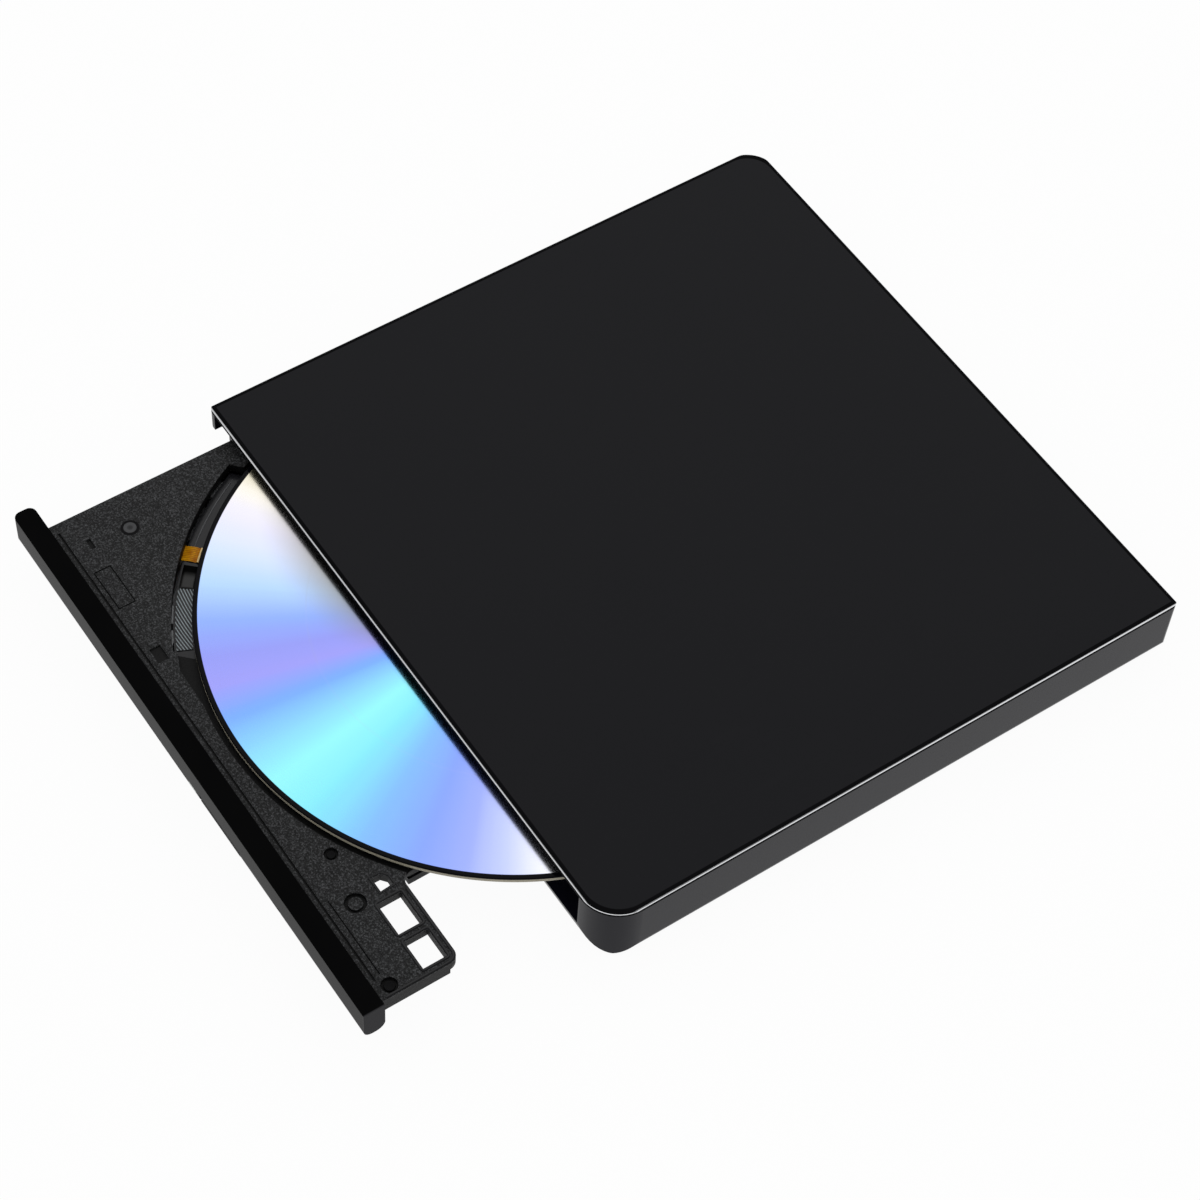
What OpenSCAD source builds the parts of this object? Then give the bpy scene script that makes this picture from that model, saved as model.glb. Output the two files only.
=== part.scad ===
// External slim disc drive with its tray part way out and a disc on the spindle.
// Front is -Y, right is +X, up is +Z; the origin is under the middle of the case, on the desk.
// Tray pieces are placed as in the closed drive and then moved out together.

/* [Case] */
// Width of the case
case_w = 138.5; // [136:0.5:146]
// Depth of the case
case_d = 132; // [131:0.5:142]
// Height from the desk to the top of the cover
case_h = 14.8; // [14.4:0.2:18]
// Height of the case's underside above the desk
foot_h = 0.6; // [0.5:0.1:1.4]
// Thickness of the case floor
floor_t = 1.2; // [1:0.1:1.4]
// Thickness of the left wall, which ends in the front post
left_wall = 2; // [1.4:0.1:2.4]
// Thickness of the right wall
right_wall = 1.6; // [1.2:0.1:2.4]
// Thickness of the back wall
back_wall = 1.2; // [0.9:0.1:1.4]
// Width of the solid cheek at the front right
cheek_w = 8.4; // [7.4:0.2:10]
// Depth of the front cheek
cheek_d = 8.4; // [7.6:0.2:9]
// Plan radius of the front right corner
corner_fr = 8; // [3:0.5:9]
// Plan radius of the back left corner
corner_bl = 6.5; // [3:0.5:8]
// Plan radius of the two tight corners
corner_tight = 1.25; // [1:0.25:3]
// Radius along the lower edge of the case
low_round = 2; // [1.4:0.2:4.4]
// Radius along the lower front edge, which is set back further
low_front = 4; // [3:0.25:6]
// Height of the base pan's supports above the case floor
pan_lift = 2.4; // [2.2:0.05:2.5]
// Height of the lower end of the left front post
post_z = 9.4; // [8.4:0.2:10.2]

/* [Cover] */
// Thickness of the top cover
cover_t = 1; // [0.9:0.05:1.2]
// Radius along the cover's upper edge
cover_round = 0.7; // [0.3:0.05:0.85]

/* [Feet and case screws] */
// Radius of a rubber foot
foot_r = 4.5; // [3:0.25:6]
// Depth that a foot is let into the case
foot_seat = 0.5; // [0.3:0.1:0.7]
// Distance of a foot's centre from the sides of the case
foot_inset = 14; // [11:0.5:20]
// Radius of a case screw's thread
case_screw_r = 0.85; // [0.7:0.05:1]
// Radius of a screw tower
tower_r = 2.5; // [2.2:0.1:2.6]

/* [Disc] */
// Diameter of the disc
disc_d = 120; // [119.6:0.1:120.4]
// Thickness of the disc
disc_t = 1.2; // [1.1:0.05:1.4]
// Diameter of the hole in the disc
disc_hole_d = 15; // [15:0.05:15.4]

/* [Tray] */
// How far the tray stands out at rest
tray_out = 44.5; // [0:0.5:130]
// Distance from the bezel's back to the edge of the disc
front_margin = 5.45; // [5:0.05:5.6]
// Thickness of the floor of the disc well
well_floor_t = 1; // [0.9:0.05:1.2]
// Depth of the disc well below the tray's face
well_depth = 1.1; // [0.8:0.05:1.2]
// Space round the disc in the well
well_gap = 1.2; // [0.8:0.1:1.6]
// Height of the disc above the floor of the well
disc_lift = 0.8; // [0.7:0.05:1]
// Depth of the well for small discs
small_well = 0.35; // [0.2:0.05:0.5]
// Radius of the well for small discs
small_well_r = 41.5; // [40.5:0.5:44]
// Height inside the tray for the mechanism
mech_h = 3.45; // [3.4:0.05:3.6]
// Thickness of the tray's side walls
tray_wall = 1.5; // [1.3:0.1:2]
// Depth of the front bar, from the bezel to its back edge
bar_d = 16.65; // [16.2:0.05:17]
// Distance of the bar's end from the end of the bezel
bar_in = 1.9; // [1:0.1:2.4]
// Distance of the tray's right edge from the disc's centre
tray_right_off = 38.15; // [37:0.05:39]
// Distance of the tray's back edge from the disc's centre
tray_tail = 58.5; // [57:0.5:58.5]

/* [Bezel] */
// Depth of the bezel
bezel_d = 4.4; // [4:0.1:4.6]
// Plan radius of the bezel's left end
bezel_end = 1.5; // [0.5:0.25:2]
// Gap round the bezel in the case's mouth
bezel_gap = 0.4; // [0.25:0.05:0.5]
// Width of the eject button
button_w = 14.1; // [8:0.1:18]
// Height of the eject button
button_h = 1.6; // [1.2:0.1:2]
// Clearance round the eject button
button_gap = 0.2; // [0.1:0.05:0.4]
// Travel of the eject button
button_travel = 0.8; // [0.5:0.1:0.9]
// Radius of the emergency release hole
release_r = 0.6; // [0.5:0.05:0.8]

/* [Rails] */
// Length of a rail
rail_len = 105; // [90:1:105]
// Thickness of a rail
rail_t = 1.1; // [1:0.05:1.1]
// Gap between a rail and the tray's edge
rail_gap = 0.3; // [0.2:0.05:0.3]
// Depth of a rail's tongue in the tray
tongue_d = 1; // [0.8:0.05:1]
// Running clearance of tongues and ribs
slide_gap = 0.1; // [0.05:0.01:0.12]

/* [Traverse] */
// Direction of the pickup's travel from the spindle, in degrees
travel_angle = 225; // [223:0.5:227]
// Distance of the lens from the spindle at rest
lens_at = 40; // [24.5:0.5:57]
// Radius of the guide shafts and the lead screw
shaft_r = 0.9; // [0.7:0.05:0.9]
// Radial running clearance of shafts
run_gap = 0.05; // [0.02:0.01:0.08]
// Distance of the main guide shaft from the spindle's line
main_y = 14; // [13:0.25:14.5]
// Distance of the sub guide shaft from the spindle's line
sub_y = 16.5; // [15:0.25:17]
// Distance of the lead screw from the spindle's line
screw_y = 19.5; // [19.2:0.1:20]
// Pitch of the lead screw's thread
screw_pitch = 3; // [2:0.25:4]
// Radius of the rotor can
rotor_r = 12.2; // [11:0.1:12.2]

/* [Sheet metal and boards] */
// Thickness of the base pan
pan_t = 0.5; // [0.4:0.05:0.6]
// Thickness of the top shield
shield_t = 0.3; // [0.2:0.05:0.4]
// Thickness of the plate under the tray
tray_plate_t = 0.3; // [0.2:0.05:0.3]
// Gap between that plate and the base pan
under_gap = 0.45; // [0.4:0.05:0.55]
// Thickness of the main board
board_t = 0.8; // [0.6:0.1:1]
// Height of the main board above the base pan
board_lift = 1; // [0.8:0.1:1.2]
// Width of the main board
board_w = 17.5; // [16:0.5:18]
// Width of the data socket
usb_w = 7.7; // [7.5:0.1:8]
// Height of the data socket
usb_h = 3.9; // [3.6:0.1:4.1]
// Length of the data socket
usb_len = 9.2; // [7:0.2:10]
// Distance of the data socket from the right side
usb_inset = 14.6; // [13:0.2:18]

/* [Hidden] */
$fn = 64;
// Extra length of a cut past the face that it opens, and of one form into the form that carries it
over = 1;
join = 0.2;
// Small screws: hole for the thread, hole to pass, head
pilot_r = 0.6;
pass_r = 0.7;
small_head_r = 1.4;
small_head_t = 0.2;

// Planes of the case
x_left = -case_w / 2;
x_right = case_w / 2;
y_front = -case_d / 2;
y_back = case_d / 2;
x_in_left = x_left + left_wall;
x_in_right = x_right - right_wall;
x_cheek = x_right - cheek_w;
y_in_back = y_back - back_wall;
sill_d = bezel_d + bezel_gap;
z_floor = foot_h + floor_t;
z_cover = case_h - cover_t;
post_round = 1.4;
post_back = bezel_d + 1.3;
foot_places = [for (x = [x_left + foot_inset, x_right - foot_inset])
               for (y = [y_front + foot_inset, y_back - foot_inset]) [x, y]];
foot_edge = 0.3;
foot_gap = 0.1;
tab_w = 0.7;
tab_l = 12;
tab_h = 1;
tab_ys = [y_front + 24, 0, y_in_back - 24];

// Heights of the drive, one on the other
z_pan_low = z_floor + pan_lift;
z_pan = z_pan_low + pan_t;
z_sill = z_pan;
z_plate = z_pan + under_gap;
z_mech = z_plate + tray_plate_t;
z_under = z_mech + mech_h;
z_well = z_under + well_floor_t;
z_tray = z_well + well_depth;
z_disc = z_well + disc_lift;
z_disc_top = z_disc + disc_t;
z_shield = z_cover - shield_t;

// Rails and guides, measured outwards from the tray's edge
guide_t = 0.4;
guide_gap = 0.2;
guide_lug_l = 10;
guide_lug_w = 1.6;
guide_lug_t = 0.6;
rail_in = rail_gap;
rail_out = rail_gap + rail_t;
guide_in = rail_out + guide_gap;
guide_out = guide_in + guide_t;

// Plan of the tray, closed
bezel_x0 = x_in_left + bezel_gap;
bezel_x1 = x_cheek - bezel_gap;
bezel_z0 = z_mech + 0.35;
bezel_z1 = z_cover - bezel_gap;
y_bezel = y_front + bezel_d;
bezel_round = 0.44 * bezel_d;
pan_side_gap = 2.5;
disc_margin = 2.45;
tray_x0 = x_in_left + pan_side_gap + pan_t + guide_out;
disc_r = disc_d / 2;
well_r = disc_r + well_gap;
disc_x = tray_x0 + disc_r + disc_margin;
disc_y = y_bezel + front_margin + disc_r;
tray_x1 = disc_x + tray_right_off;
tray_y1 = disc_y + tray_tail;
bar_x1 = bezel_x1 - bar_in;
bar_y1 = y_bezel + bar_d;
bar_round = 2;
// Room left open under the small window, so that it can be seen through
sight = 2;
sight_w = 6;
bar_fillet = 2.6;

// Places along the tray's front
button_x = disc_x + 10.6;
button_z = bezel_z0 + 1.7;
led_x = button_x - 10;
release_x = button_x + 20.8;
led_w = 3;
led_h = 0.9;
button_back = y_bezel + 0.35;
switch_y0 = button_back + button_travel + 0.1;
switch_board_z = z_mech + 0.5;
switch_board_t = 0.6;

// Heights of the rails, their tongues and ribs
rail_z0 = z_mech + 1.1;
left_rail_z1 = z_tray - 0.3;
right_rail_z1 = z_well - 0.1;
tongue_z0 = z_mech + 1.9;
tongue_h = 0.8;
rib_z0 = tongue_z0 + 0.8;
rib_h = 0.8;
rib_d = 0.6;
guide_y0 = bar_y1 + bar_fillet + 0.4;
guide_back = 6.35;
guide_y1 = y_in_back - guide_back;

// Traverse, in a frame that has its X along the pickup's travel
z_frame = z_mech + 0.35;
frame_t = 0.5;
z_deck = z_frame + frame_t;
shaft_z = z_mech + 1.4;
cover_z0 = z_under - 0.7;
block_z1 = cover_z0 - 0.1;
carriage_z0 = z_mech + 0.15;
trav_cover_t = 0.4;
flex_t = 0.15;
flex_w = 3.5;
strip_t = 0.25;
strip_from = 7.6;
strip_to = 20.6;
table_r = rotor_r + 1.8;
frame_side = 4;
frame_x0 = -rotor_r - 2.8;
frame_y0 = -sub_y - frame_side;
frame_y1 = screw_y + frame_side;
frame_rim = 1.9;
block_l = 2.5;
block_half = 2;
window_gap = 4;
window_r = disc_r + window_gap;
window_y0 = frame_y0 - 0.5;
window_y1 = frame_y1 + 0.5;
hub_window_r = table_r + 2;
shaft_x0 = rotor_r + 2.3;
shaft_x1 = window_r - 1;
step_angles = [[window_r - 0.7, 20], [window_r - 0.6, 26], [well_r - 0.6, 39]];
pickup_back = 11;
bearing_back = 7;
pickup_front = 2;
pickup_half = 8.8;
slot_end = window_r - 4.4;
slot_gap = 0.5;
sleeve_r = 2.6;
spindle_r = 1.5;
stator_r = rotor_r - 1.7;
pole_half = 1.1;
pole_in = 3.8;
motor_l = 16.5;
motor_x1 = shaft_x0 - 2;
motor_x0 = motor_x1 - motor_l;
motor_r = 2.6;
motor_ear = 1;
lug_y = -9;
lug_w = 8;
grommets = [[frame_x0 + 3, frame_y0 + 4.5], [frame_x0 + 3, frame_y1 - 4.5], [window_r + 2.5, lug_y]];
grommet_r = 2.4;
grommet_hole = 1.75;
grommet_bore = 1.1;
grommet_lip = 0.35;

// Disc seat
hub_r = disc_hole_d / 2 - 0.15;
pad_t = 0.4;
hub_over = 0.4 * (z_shield - z_disc_top);
hub_top = z_disc_top + hub_over;
hub_cone_h = 0.75 * hub_over;
hub_cone_r = 0.8;
jaw_w = 3;
jaw_in = 5.4;
jaw_hook = 0.45;
jaw_z0 = z_disc_top + 0.1 * hub_over;
jaw_z1 = hub_top - 0.15 * hub_over;
jaw_root = 0.55;

// Board, sockets and fasteners on the base pan
pan_x1 = min(x_in_right - 2 * tower_r - 1, x_cheek - 0.2);
pan_y0 = y_front + sill_d + 0.2;
board_x1 = pan_x1 - 0.4;
board_x0 = board_x1 - board_w;
board_y0 = bar_y1 + 2;
board_y1 = y_in_back - 1.3;
z_board = z_pan + board_lift;
z_parts = z_board + board_t;
usb_x = x_right - usb_inset;
usb_y1 = y_back - 0.3;
stand_r = 1.6;
stands = [[board_x0 + 2.6, board_y0 + 3], [board_x1 - 2.6, board_y0 + 44], [board_x0 + 2.6, board_y1 - 18]];
tower_x = x_in_right - tower_r;
front_tower = [x_cheek + tower_r + 0.8, y_front + cheek_d - tower_r];
towers = [front_tower, [tower_x, disc_y + 1.5], [tower_x, y_in_back - tower_r - 1.5]];
tower_z = z_pan + 5.3;
boss_gap = 0.1;
head_r = 1.8;
head_t = 0.9;
head_gap = 0.2;
head_z = foot_h + 0.4;
pan_screws_at = [[tray_x0 + 20, y_in_back - 10.35], [tray_x0 + 20, bar_y1 - 4],
                 [tray_x1 - 12, y_in_back - 10.35], [tray_x1 - 12, bar_y1 - 4]];
tray_bosses = [[tray_x0 + 7, y_bezel + 4.5], [tray_x1 - 6.5, bar_y1 + 6], [tray_x0 + 7, tray_y1 - 6],
               [tray_x1 - 6.5, tray_y1 - 6]];
boss_r = 1.8;
pan_post_r = 3;
pilot_z = foot_h + 0.7;
pan_rib_t = 1.2;
pan_rib_xs = [disc_x - 30, disc_x + 8, pan_x1 - 8];
cable_lane_x = tray_x1 - 22;
cable_y0 = board_y0 + 22;
cable_y1 = y_in_back - 16.35;
cable_w = 8;
cable_rise = 0.5;
cable_gap = 0.2;
usb_wall = 0.3;
usb_gap = 0.4;
tongue_root = 2.4;
pan_gap = 0.2;
post_gap = 0.15;
flange_z1 = z_well + 0.6;
mark = 0.3;
pocket = 0.4;

// Latch, under the front bar
latch_x = bar_x1 - 7.1;
latch_y = y_bezel + 2.4;
latch_z0 = z_mech + 1;
latch_t = 1.2;
latch_len = 7;
latch_pivot_r = 1;
pin_r = 0.8;
pin_x = latch_x + 3;
pin_y = latch_y + 4;
plunger_y = latch_y + 3.2;
plunger_r = 0.7;
coil_gap = 3.4;
coil_to_latch = 3.2;
coil_x0 = tray_x1 + coil_gap;
coil_x1 = latch_x - coil_to_latch;

// Box between two corners
module slab(x0, x1, y0, y1, z0, z1) {
    translate([x0, y0, z0]) cube([x1 - x0, y1 - y0, z1 - z0]);
}

// Upright round bar at a plan point
module rod(at, z0, z1, r) {
    translate([at[0], at[1], z0]) cylinder(h = z1 - z0, r = r);
}

// Flat plate with its own radius at each corner: front left, front right, back right, back left
module corner_plate(x0, x1, y0, y1, fl, fr, br, bl) {
    polygon([[x0 + fl, y0], [x1 - fr, y0], [x1, y0 + fr], [x1, y1 - br],
             [x1 - br, y1], [x0 + bl, y1], [x0, y1 - bl], [x0, y0 + fl]]);
    translate([x0 + fl, y0 + fl]) circle(fl);
    translate([x1 - fr, y0 + fr]) circle(fr);
    translate([x1 - br, y1 - br]) circle(br);
    translate([x0 + bl, y1 - bl]) circle(bl);
}

// Section with two round corners, each with its own radius, at the bottom, or at the top with flip
module round_section(a0, a1, z0, z1, r0, r1, flip = false) {
    end_z = flip ? z1 : z0;
    far_z = flip ? z0 : z1;
    way = flip ? -1 : 1;
    polygon([[a0 + r0, end_z], [a1 - r1, end_z], [a1, end_z + way * r1], [a1, far_z],
             [a0, far_z], [a0, end_z + way * r0]]);
    translate([a0 + r0, end_z + way * r0]) circle(r0);
    translate([a1 - r1, end_z + way * r1]) circle(r1);
}

// Section in X and Z drawn out along Y
module along_y(y0, y1) {
    translate([0, y1, 0]) rotate([90, 0, 0]) linear_extrude(y1 - y0) children();
}

// Section in Y and Z drawn out along X
module along_x(x0, x1) {
    translate([x0, 0, 0]) rotate([90, 0, 90]) linear_extrude(x1 - x0) children();
}

// Plan of the case
module case_outline() {
    corner_plate(x_left, x_right, y_front, y_back, corner_tight, corner_fr, corner_tight, corner_bl);
}

// Outer form of the case between two heights, rounded along its lower or upper edge
module case_block(z0, z1, r, front_r, flip) {
    intersection() {
        translate([0, 0, z0]) linear_extrude(z1 - z0) case_outline();
        along_y(y_front, y_back) round_section(x_left, x_right, z0, z1, r, r, flip);
        along_x(x_left, x_right) round_section(y_front, y_back, z0, z1, front_r, r, flip);
    }
}

// Tray pieces move out of the case together
module on_tray() {
    translate([0, -tray_out, 0]) children();
}

// Rails follow at half the tray's travel
module on_rail() {
    translate([0, -tray_out / 2, 0]) children();
}

// Frame of the traverse: origin on the spindle, X along the pickup's travel
module on_traverse() {
    on_tray() translate([disc_x, disc_y, 0]) rotate([0, 0, travel_angle]) children();
}

// Pieces along the tray's left edge, drawn outwards from the edge
module on_left_edge() {
    translate([tray_x0, 0, 0]) mirror([1, 0, 0]) children();
}

// Pieces along the tray's right edge, drawn outwards from the edge
module on_right_edge() {
    translate([tray_x1, 0, 0]) children();
}

// Case and what is fixed in it

module bottom_case() {
    color("#2b2b2f") difference() {
        union() {
            difference() {
                case_block(foot_h, z_cover, low_round, low_front, false);
                translate([0, 0, z_floor]) linear_extrude(z_cover)
                    corner_plate(x_in_left, x_in_right, y_front + sill_d, y_in_back, 0.01, 0.01,
                                 corner_tight / 2, corner_bl - back_wall);
                slab(x_in_left, x_cheek, y_front - over, y_front + sill_d + over, z_sill, case_h);
            }
            intersection() {
                slab(x_cheek, x_right, y_front, y_front + cheek_d, foot_h, z_cover);
                case_block(foot_h, z_cover, low_round, low_front, false);
            }
            for (p = towers) rod(p, z_floor, tower_z, tower_r);
            for (p = pan_screws_at) rod(p, z_floor, z_pan_low, pan_post_r);
            for (x = pan_rib_xs)
                slab(x - pan_rib_t / 2, x + pan_rib_t / 2, guide_y0, guide_y1 - 12, z_floor, z_pan_low);
        }
        post_notch();
        slab(usb_x - usb_w / 2 - usb_gap, usb_x + usb_w / 2 + usb_gap, y_in_back - over, y_back + over,
             z_parts - usb_gap, z_parts + usb_h + usb_gap);
        for (p = foot_places) rod(p, foot_h - over, foot_h + foot_seat, foot_r + foot_gap);
        for (p = towers) {
            rod(p, foot_h - over, head_z + head_t, head_r + head_gap);
            rod(p, foot_h, tower_z + over, case_screw_r + head_gap);
        }
        rod(front_tower, tower_z, case_h, tower_r + boss_gap);
        for (p = pan_screws_at) rod(p, pilot_z - cable_gap, z_pan_low + over, pilot_r);
    }
}

// Cut below the left front post, which leaves the post with a round lower edge
module post_notch() {
    side_x = x_in_left + 2 * over;
    round_z = post_z + post_round;
    along_y(y_front - over, y_front + post_back) difference() {
        translate([x_left - over, foot_h - over]) square([left_wall + 2 * over, round_z - foot_h + over]);
        polygon([[x_left + post_round, post_z], [side_x, post_z], [side_x, case_h],
                 [x_left - over, case_h], [x_left - over, round_z], [x_left, round_z]]);
        translate([x_left + post_round, post_z + post_round]) circle(post_round);
    }
}

module top_cover() {
    color("#202022") difference() {
        union() {
            case_block(z_cover, case_h, cover_round, cover_round, true);
            for (p = towers) rod(p, tower_z, z_cover + join, tower_r);
            for (y = tab_ys)
                slab(x_in_left + boss_gap, x_in_left + boss_gap + tab_w, y, y + tab_l, z_cover - tab_h,
                     z_cover + join);
        }
        for (p = towers) rod(p, tower_z - over, z_cover + 2 * join, case_screw_r);
    }
}

module rubber_feet() {
    color("#151515") for (p = foot_places) {
        rod(p, foot_edge, foot_h + foot_seat, foot_r);
        rod(p, 0, foot_edge, foot_r - foot_edge);
    }
}

// Pan-headed screw with a cross in its head, head down
module screw(at, z_head, t_head, r_head, z_tip, r) {
    difference() {
        union() {
            rod(at, z_head, z_head + t_head, r_head);
            rod(at, z_head, z_tip, r);
        }
        for (turn = [0, 90]) translate([at[0], at[1], z_head]) rotate([0, 0, turn])
            slab(-0.62 * r_head, 0.62 * r_head, -0.14 * r_head, 0.14 * r_head, -over, t_head / 2);
    }
}

module case_screws() {
    color("#5a5a5e") for (p = towers) screw(p, head_z, head_t, head_r, z_cover, case_screw_r);
}

module base_pan() {
    color("#b9bcbf") difference() {
        union() {
            translate([0, 0, z_pan_low]) linear_extrude(pan_t)
                corner_plate(x_in_left + post_gap, pan_x1, pan_y0, y_in_back - pan_gap, 1, 1, 1,
                             corner_bl - back_wall - pan_gap);
            slab(tray_x0 - guide_out - pan_t, tray_x0 - guide_out, guide_y0, guide_y1, z_pan_low,
                 flange_z1);
            slab(tray_x0 + 8, tray_x1, y_in_back - pan_gap - pan_t, y_in_back - pan_gap, z_pan_low,
                 z_well - 0.3);
            for (p = stands) rod(p, z_pan, z_board, stand_r);
        }
        for (p = stands) rod(p, z_pan_low - over, z_board + over, pilot_r);
        for (p = pan_screws_at) rod(p, z_pan_low - over, z_pan + over, pass_r);
    }
}

module pan_screws() {
    color("#8d9094") for (p = pan_screws_at) {
        rod(p, pilot_z, z_pan, pilot_r);
        rod(p, z_pan, z_pan + small_head_t, small_head_r);
    }
}

module top_shield() {
    color("#c3c5c8") translate([0, 0, z_shield]) linear_extrude(shield_t) difference() {
        corner_plate(x_in_left + 1.2, pan_x1, y_bezel + 0.6, y_in_back - 0.4, 1, 1, 1, corner_bl - back_wall);
        translate([disc_x, disc_y - 0.6 * disc_r]) circle(2.5);
    }
}

// Fixed channel that a rail runs on: a thin strip with one rib
module rail_guide(z1) {
    slab(guide_in, guide_out, guide_y0, guide_y1, z_pan, z1);
    slab(rail_out - rib_d + slide_gap, guide_in, guide_y0, guide_y1, rib_z0 + slide_gap,
         rib_z0 + rib_h - slide_gap);
}

module left_rail_guide() {
    color("#303034") on_left_edge() rail_guide(flange_z1);
}

module right_rail_guide() {
    color("#303034") difference() {
        on_right_edge() {
            rail_guide(right_rail_z1);
            for (y = [guide_y0, disc_y, guide_y1 - guide_lug_l])
                slab(guide_out - join, guide_out + guide_lug_w, y, y + guide_lug_l, z_pan,
                     z_pan + guide_lug_t);
        }
        slab(tray_x1, board_x0, cable_y0 - cable_gap, cable_y0 + cable_w + cable_gap, z_pan - over,
             z_pan + flex_t + cable_gap);
    }
}

module main_board() {
    color("#14532f") difference() {
        slab(board_x0, board_x1, board_y0, board_y1, z_board, z_parts);
        for (p = stands) rod(p, z_board - over, z_parts + over, pass_r);
    }
}

module board_screws() {
    color("#8d9094") for (p = stands) {
        rod(p, z_pan, z_parts, pilot_r);
        rod(p, z_parts, z_parts + 0.5, small_head_r);
    }
}

module board_chips() {
    mid = (board_x0 + board_x1) / 2;
    color("#1b1b1d") {
        slab(mid - 5, mid + 5, board_y0 + 30, board_y0 + 40, z_parts, z_parts + 1.2);
        slab(mid - 3, mid + 3, board_y0 + 50, board_y0 + 59, z_parts, z_parts + 1);
        slab(mid + 1, mid + 6, board_y0 + 14, board_y0 + 20, z_parts, z_parts + 1);
        for (i = [0:2]) rod([mid - 4 + 4 * i, board_y0 + 66], z_parts, z_parts + 1.8, 1.4);
    }
}

module usb_socket() {
    color("#c9cbce") difference() {
        slab(usb_x - usb_w / 2, usb_x + usb_w / 2, usb_y1 - usb_len, usb_y1, z_parts, z_parts + usb_h);
        slab(usb_x - usb_w / 2 + usb_wall, usb_x + usb_w / 2 - usb_wall, usb_y1 - usb_len + usb_wall,
             usb_y1 + over, z_parts + usb_wall, z_parts + usb_h - usb_wall);
    }
}

module usb_tongue() {
    color("#17171a") {
        slab(usb_x - usb_w / 2 + usb_wall, usb_x + usb_w / 2 - usb_wall, usb_y1 - usb_len + usb_wall,
             usb_y1 - usb_len + tongue_root, z_parts + usb_wall, z_parts + usb_h - usb_wall);
        slab(usb_x - usb_w / 4, usb_x + usb_w / 4, usb_y1 - usb_len + tongue_root - join, usb_y1 - 1.2,
             z_parts + usb_h / 2 - 0.4, z_parts + usb_h / 2 + 0.5);
    }
}

module flat_cable_socket() {
    color("#e6e2d6") difference() {
        slab(board_x0 + 0.2, board_x0 + 3.4, cable_y0 - 1.2, cable_y0 + cable_w + 1.2, z_parts,
             z_parts + 1.4);
        slab(board_x0 - over, board_x0 + 2.2, cable_y0, cable_y0 + cable_w, z_parts + cable_rise,
             z_parts + cable_rise + flex_t);
    }
}

// Flat cable from the board's socket down to the pan and in under the tray
module flat_cable() {
    rise_x = board_x0 - 0.8;
    color("#c9791c") {
        slab(rise_x, board_x0 + 2.2, cable_y0, cable_y0 + cable_w, z_parts + cable_rise,
             z_parts + cable_rise + flex_t);
        slab(rise_x, rise_x + flex_t, cable_y0, cable_y0 + cable_w, z_pan, z_parts + cable_rise);
        slab(cable_lane_x, rise_x, cable_y0, cable_y0 + cable_w, z_pan, z_pan + flex_t);
        slab(cable_lane_x, cable_lane_x + cable_w, cable_y0 + cable_w, cable_y1, z_pan, z_pan + flex_t);
    }
}

module latch_pin() {
    color("#d0d2d4") rod([pin_x, pin_y], z_pan, latch_z0 + latch_t + 0.3, pin_r);
}

// Tray and what is fixed to it

module tray_outline() {
    corner_plate(tray_x0, tray_x1, y_bezel, tray_y1, 0.01, 0.01, 2, 2);
    corner_plate(tray_x0, bar_x1, y_bezel, bar_y1, 0.01, 0.5, bar_round, 0.01);
    difference() {
        translate([tray_x1, bar_y1]) square(bar_fillet);
        translate([tray_x1 + bar_fillet, bar_y1 + bar_fillet]) circle(bar_fillet);
    }
}

// Opening of the traverse in the tray
module traverse_window() {
    circle(hub_window_r);
    intersection() {
        circle(window_r);
        translate([0, window_y0]) square([window_r + over, window_y1 - window_y0]);
    }
}

// Plan of the disc's well, with a step beside the traverse opening that comes in to the well's radius
module disc_well() {
    circle(well_r);
    polygon(concat([[0, 0]], [for (a = step_angles) a[0] * [cos(a[1]), sin(a[1])]]));
}

module tray_windows() {
    win_y1 = bar_y1 - 1.7;
    win_y0 = win_y1 - 4.9;
    small_y1 = bar_y1 - 2;
    slab(bar_x1 - 8.05, bar_x1 - 1.7, win_y0, win_y1, z_mech, case_h);
    slab(bar_x1 - 17, bar_x1 - 9.8, win_y0, win_y1, z_mech, case_h);
    translate([0, 0, z_mech]) linear_extrude(case_h)
        polygon([[tray_x1 - 1.85, small_y1 - 2.65], [tray_x1 + 1.25, small_y1 - 2.65],
                 [tray_x1 + 1.05, small_y1], [tray_x1 - 0.7, small_y1], [tray_x1 - 1.8, small_y1 - 0.9]]);
}

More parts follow.
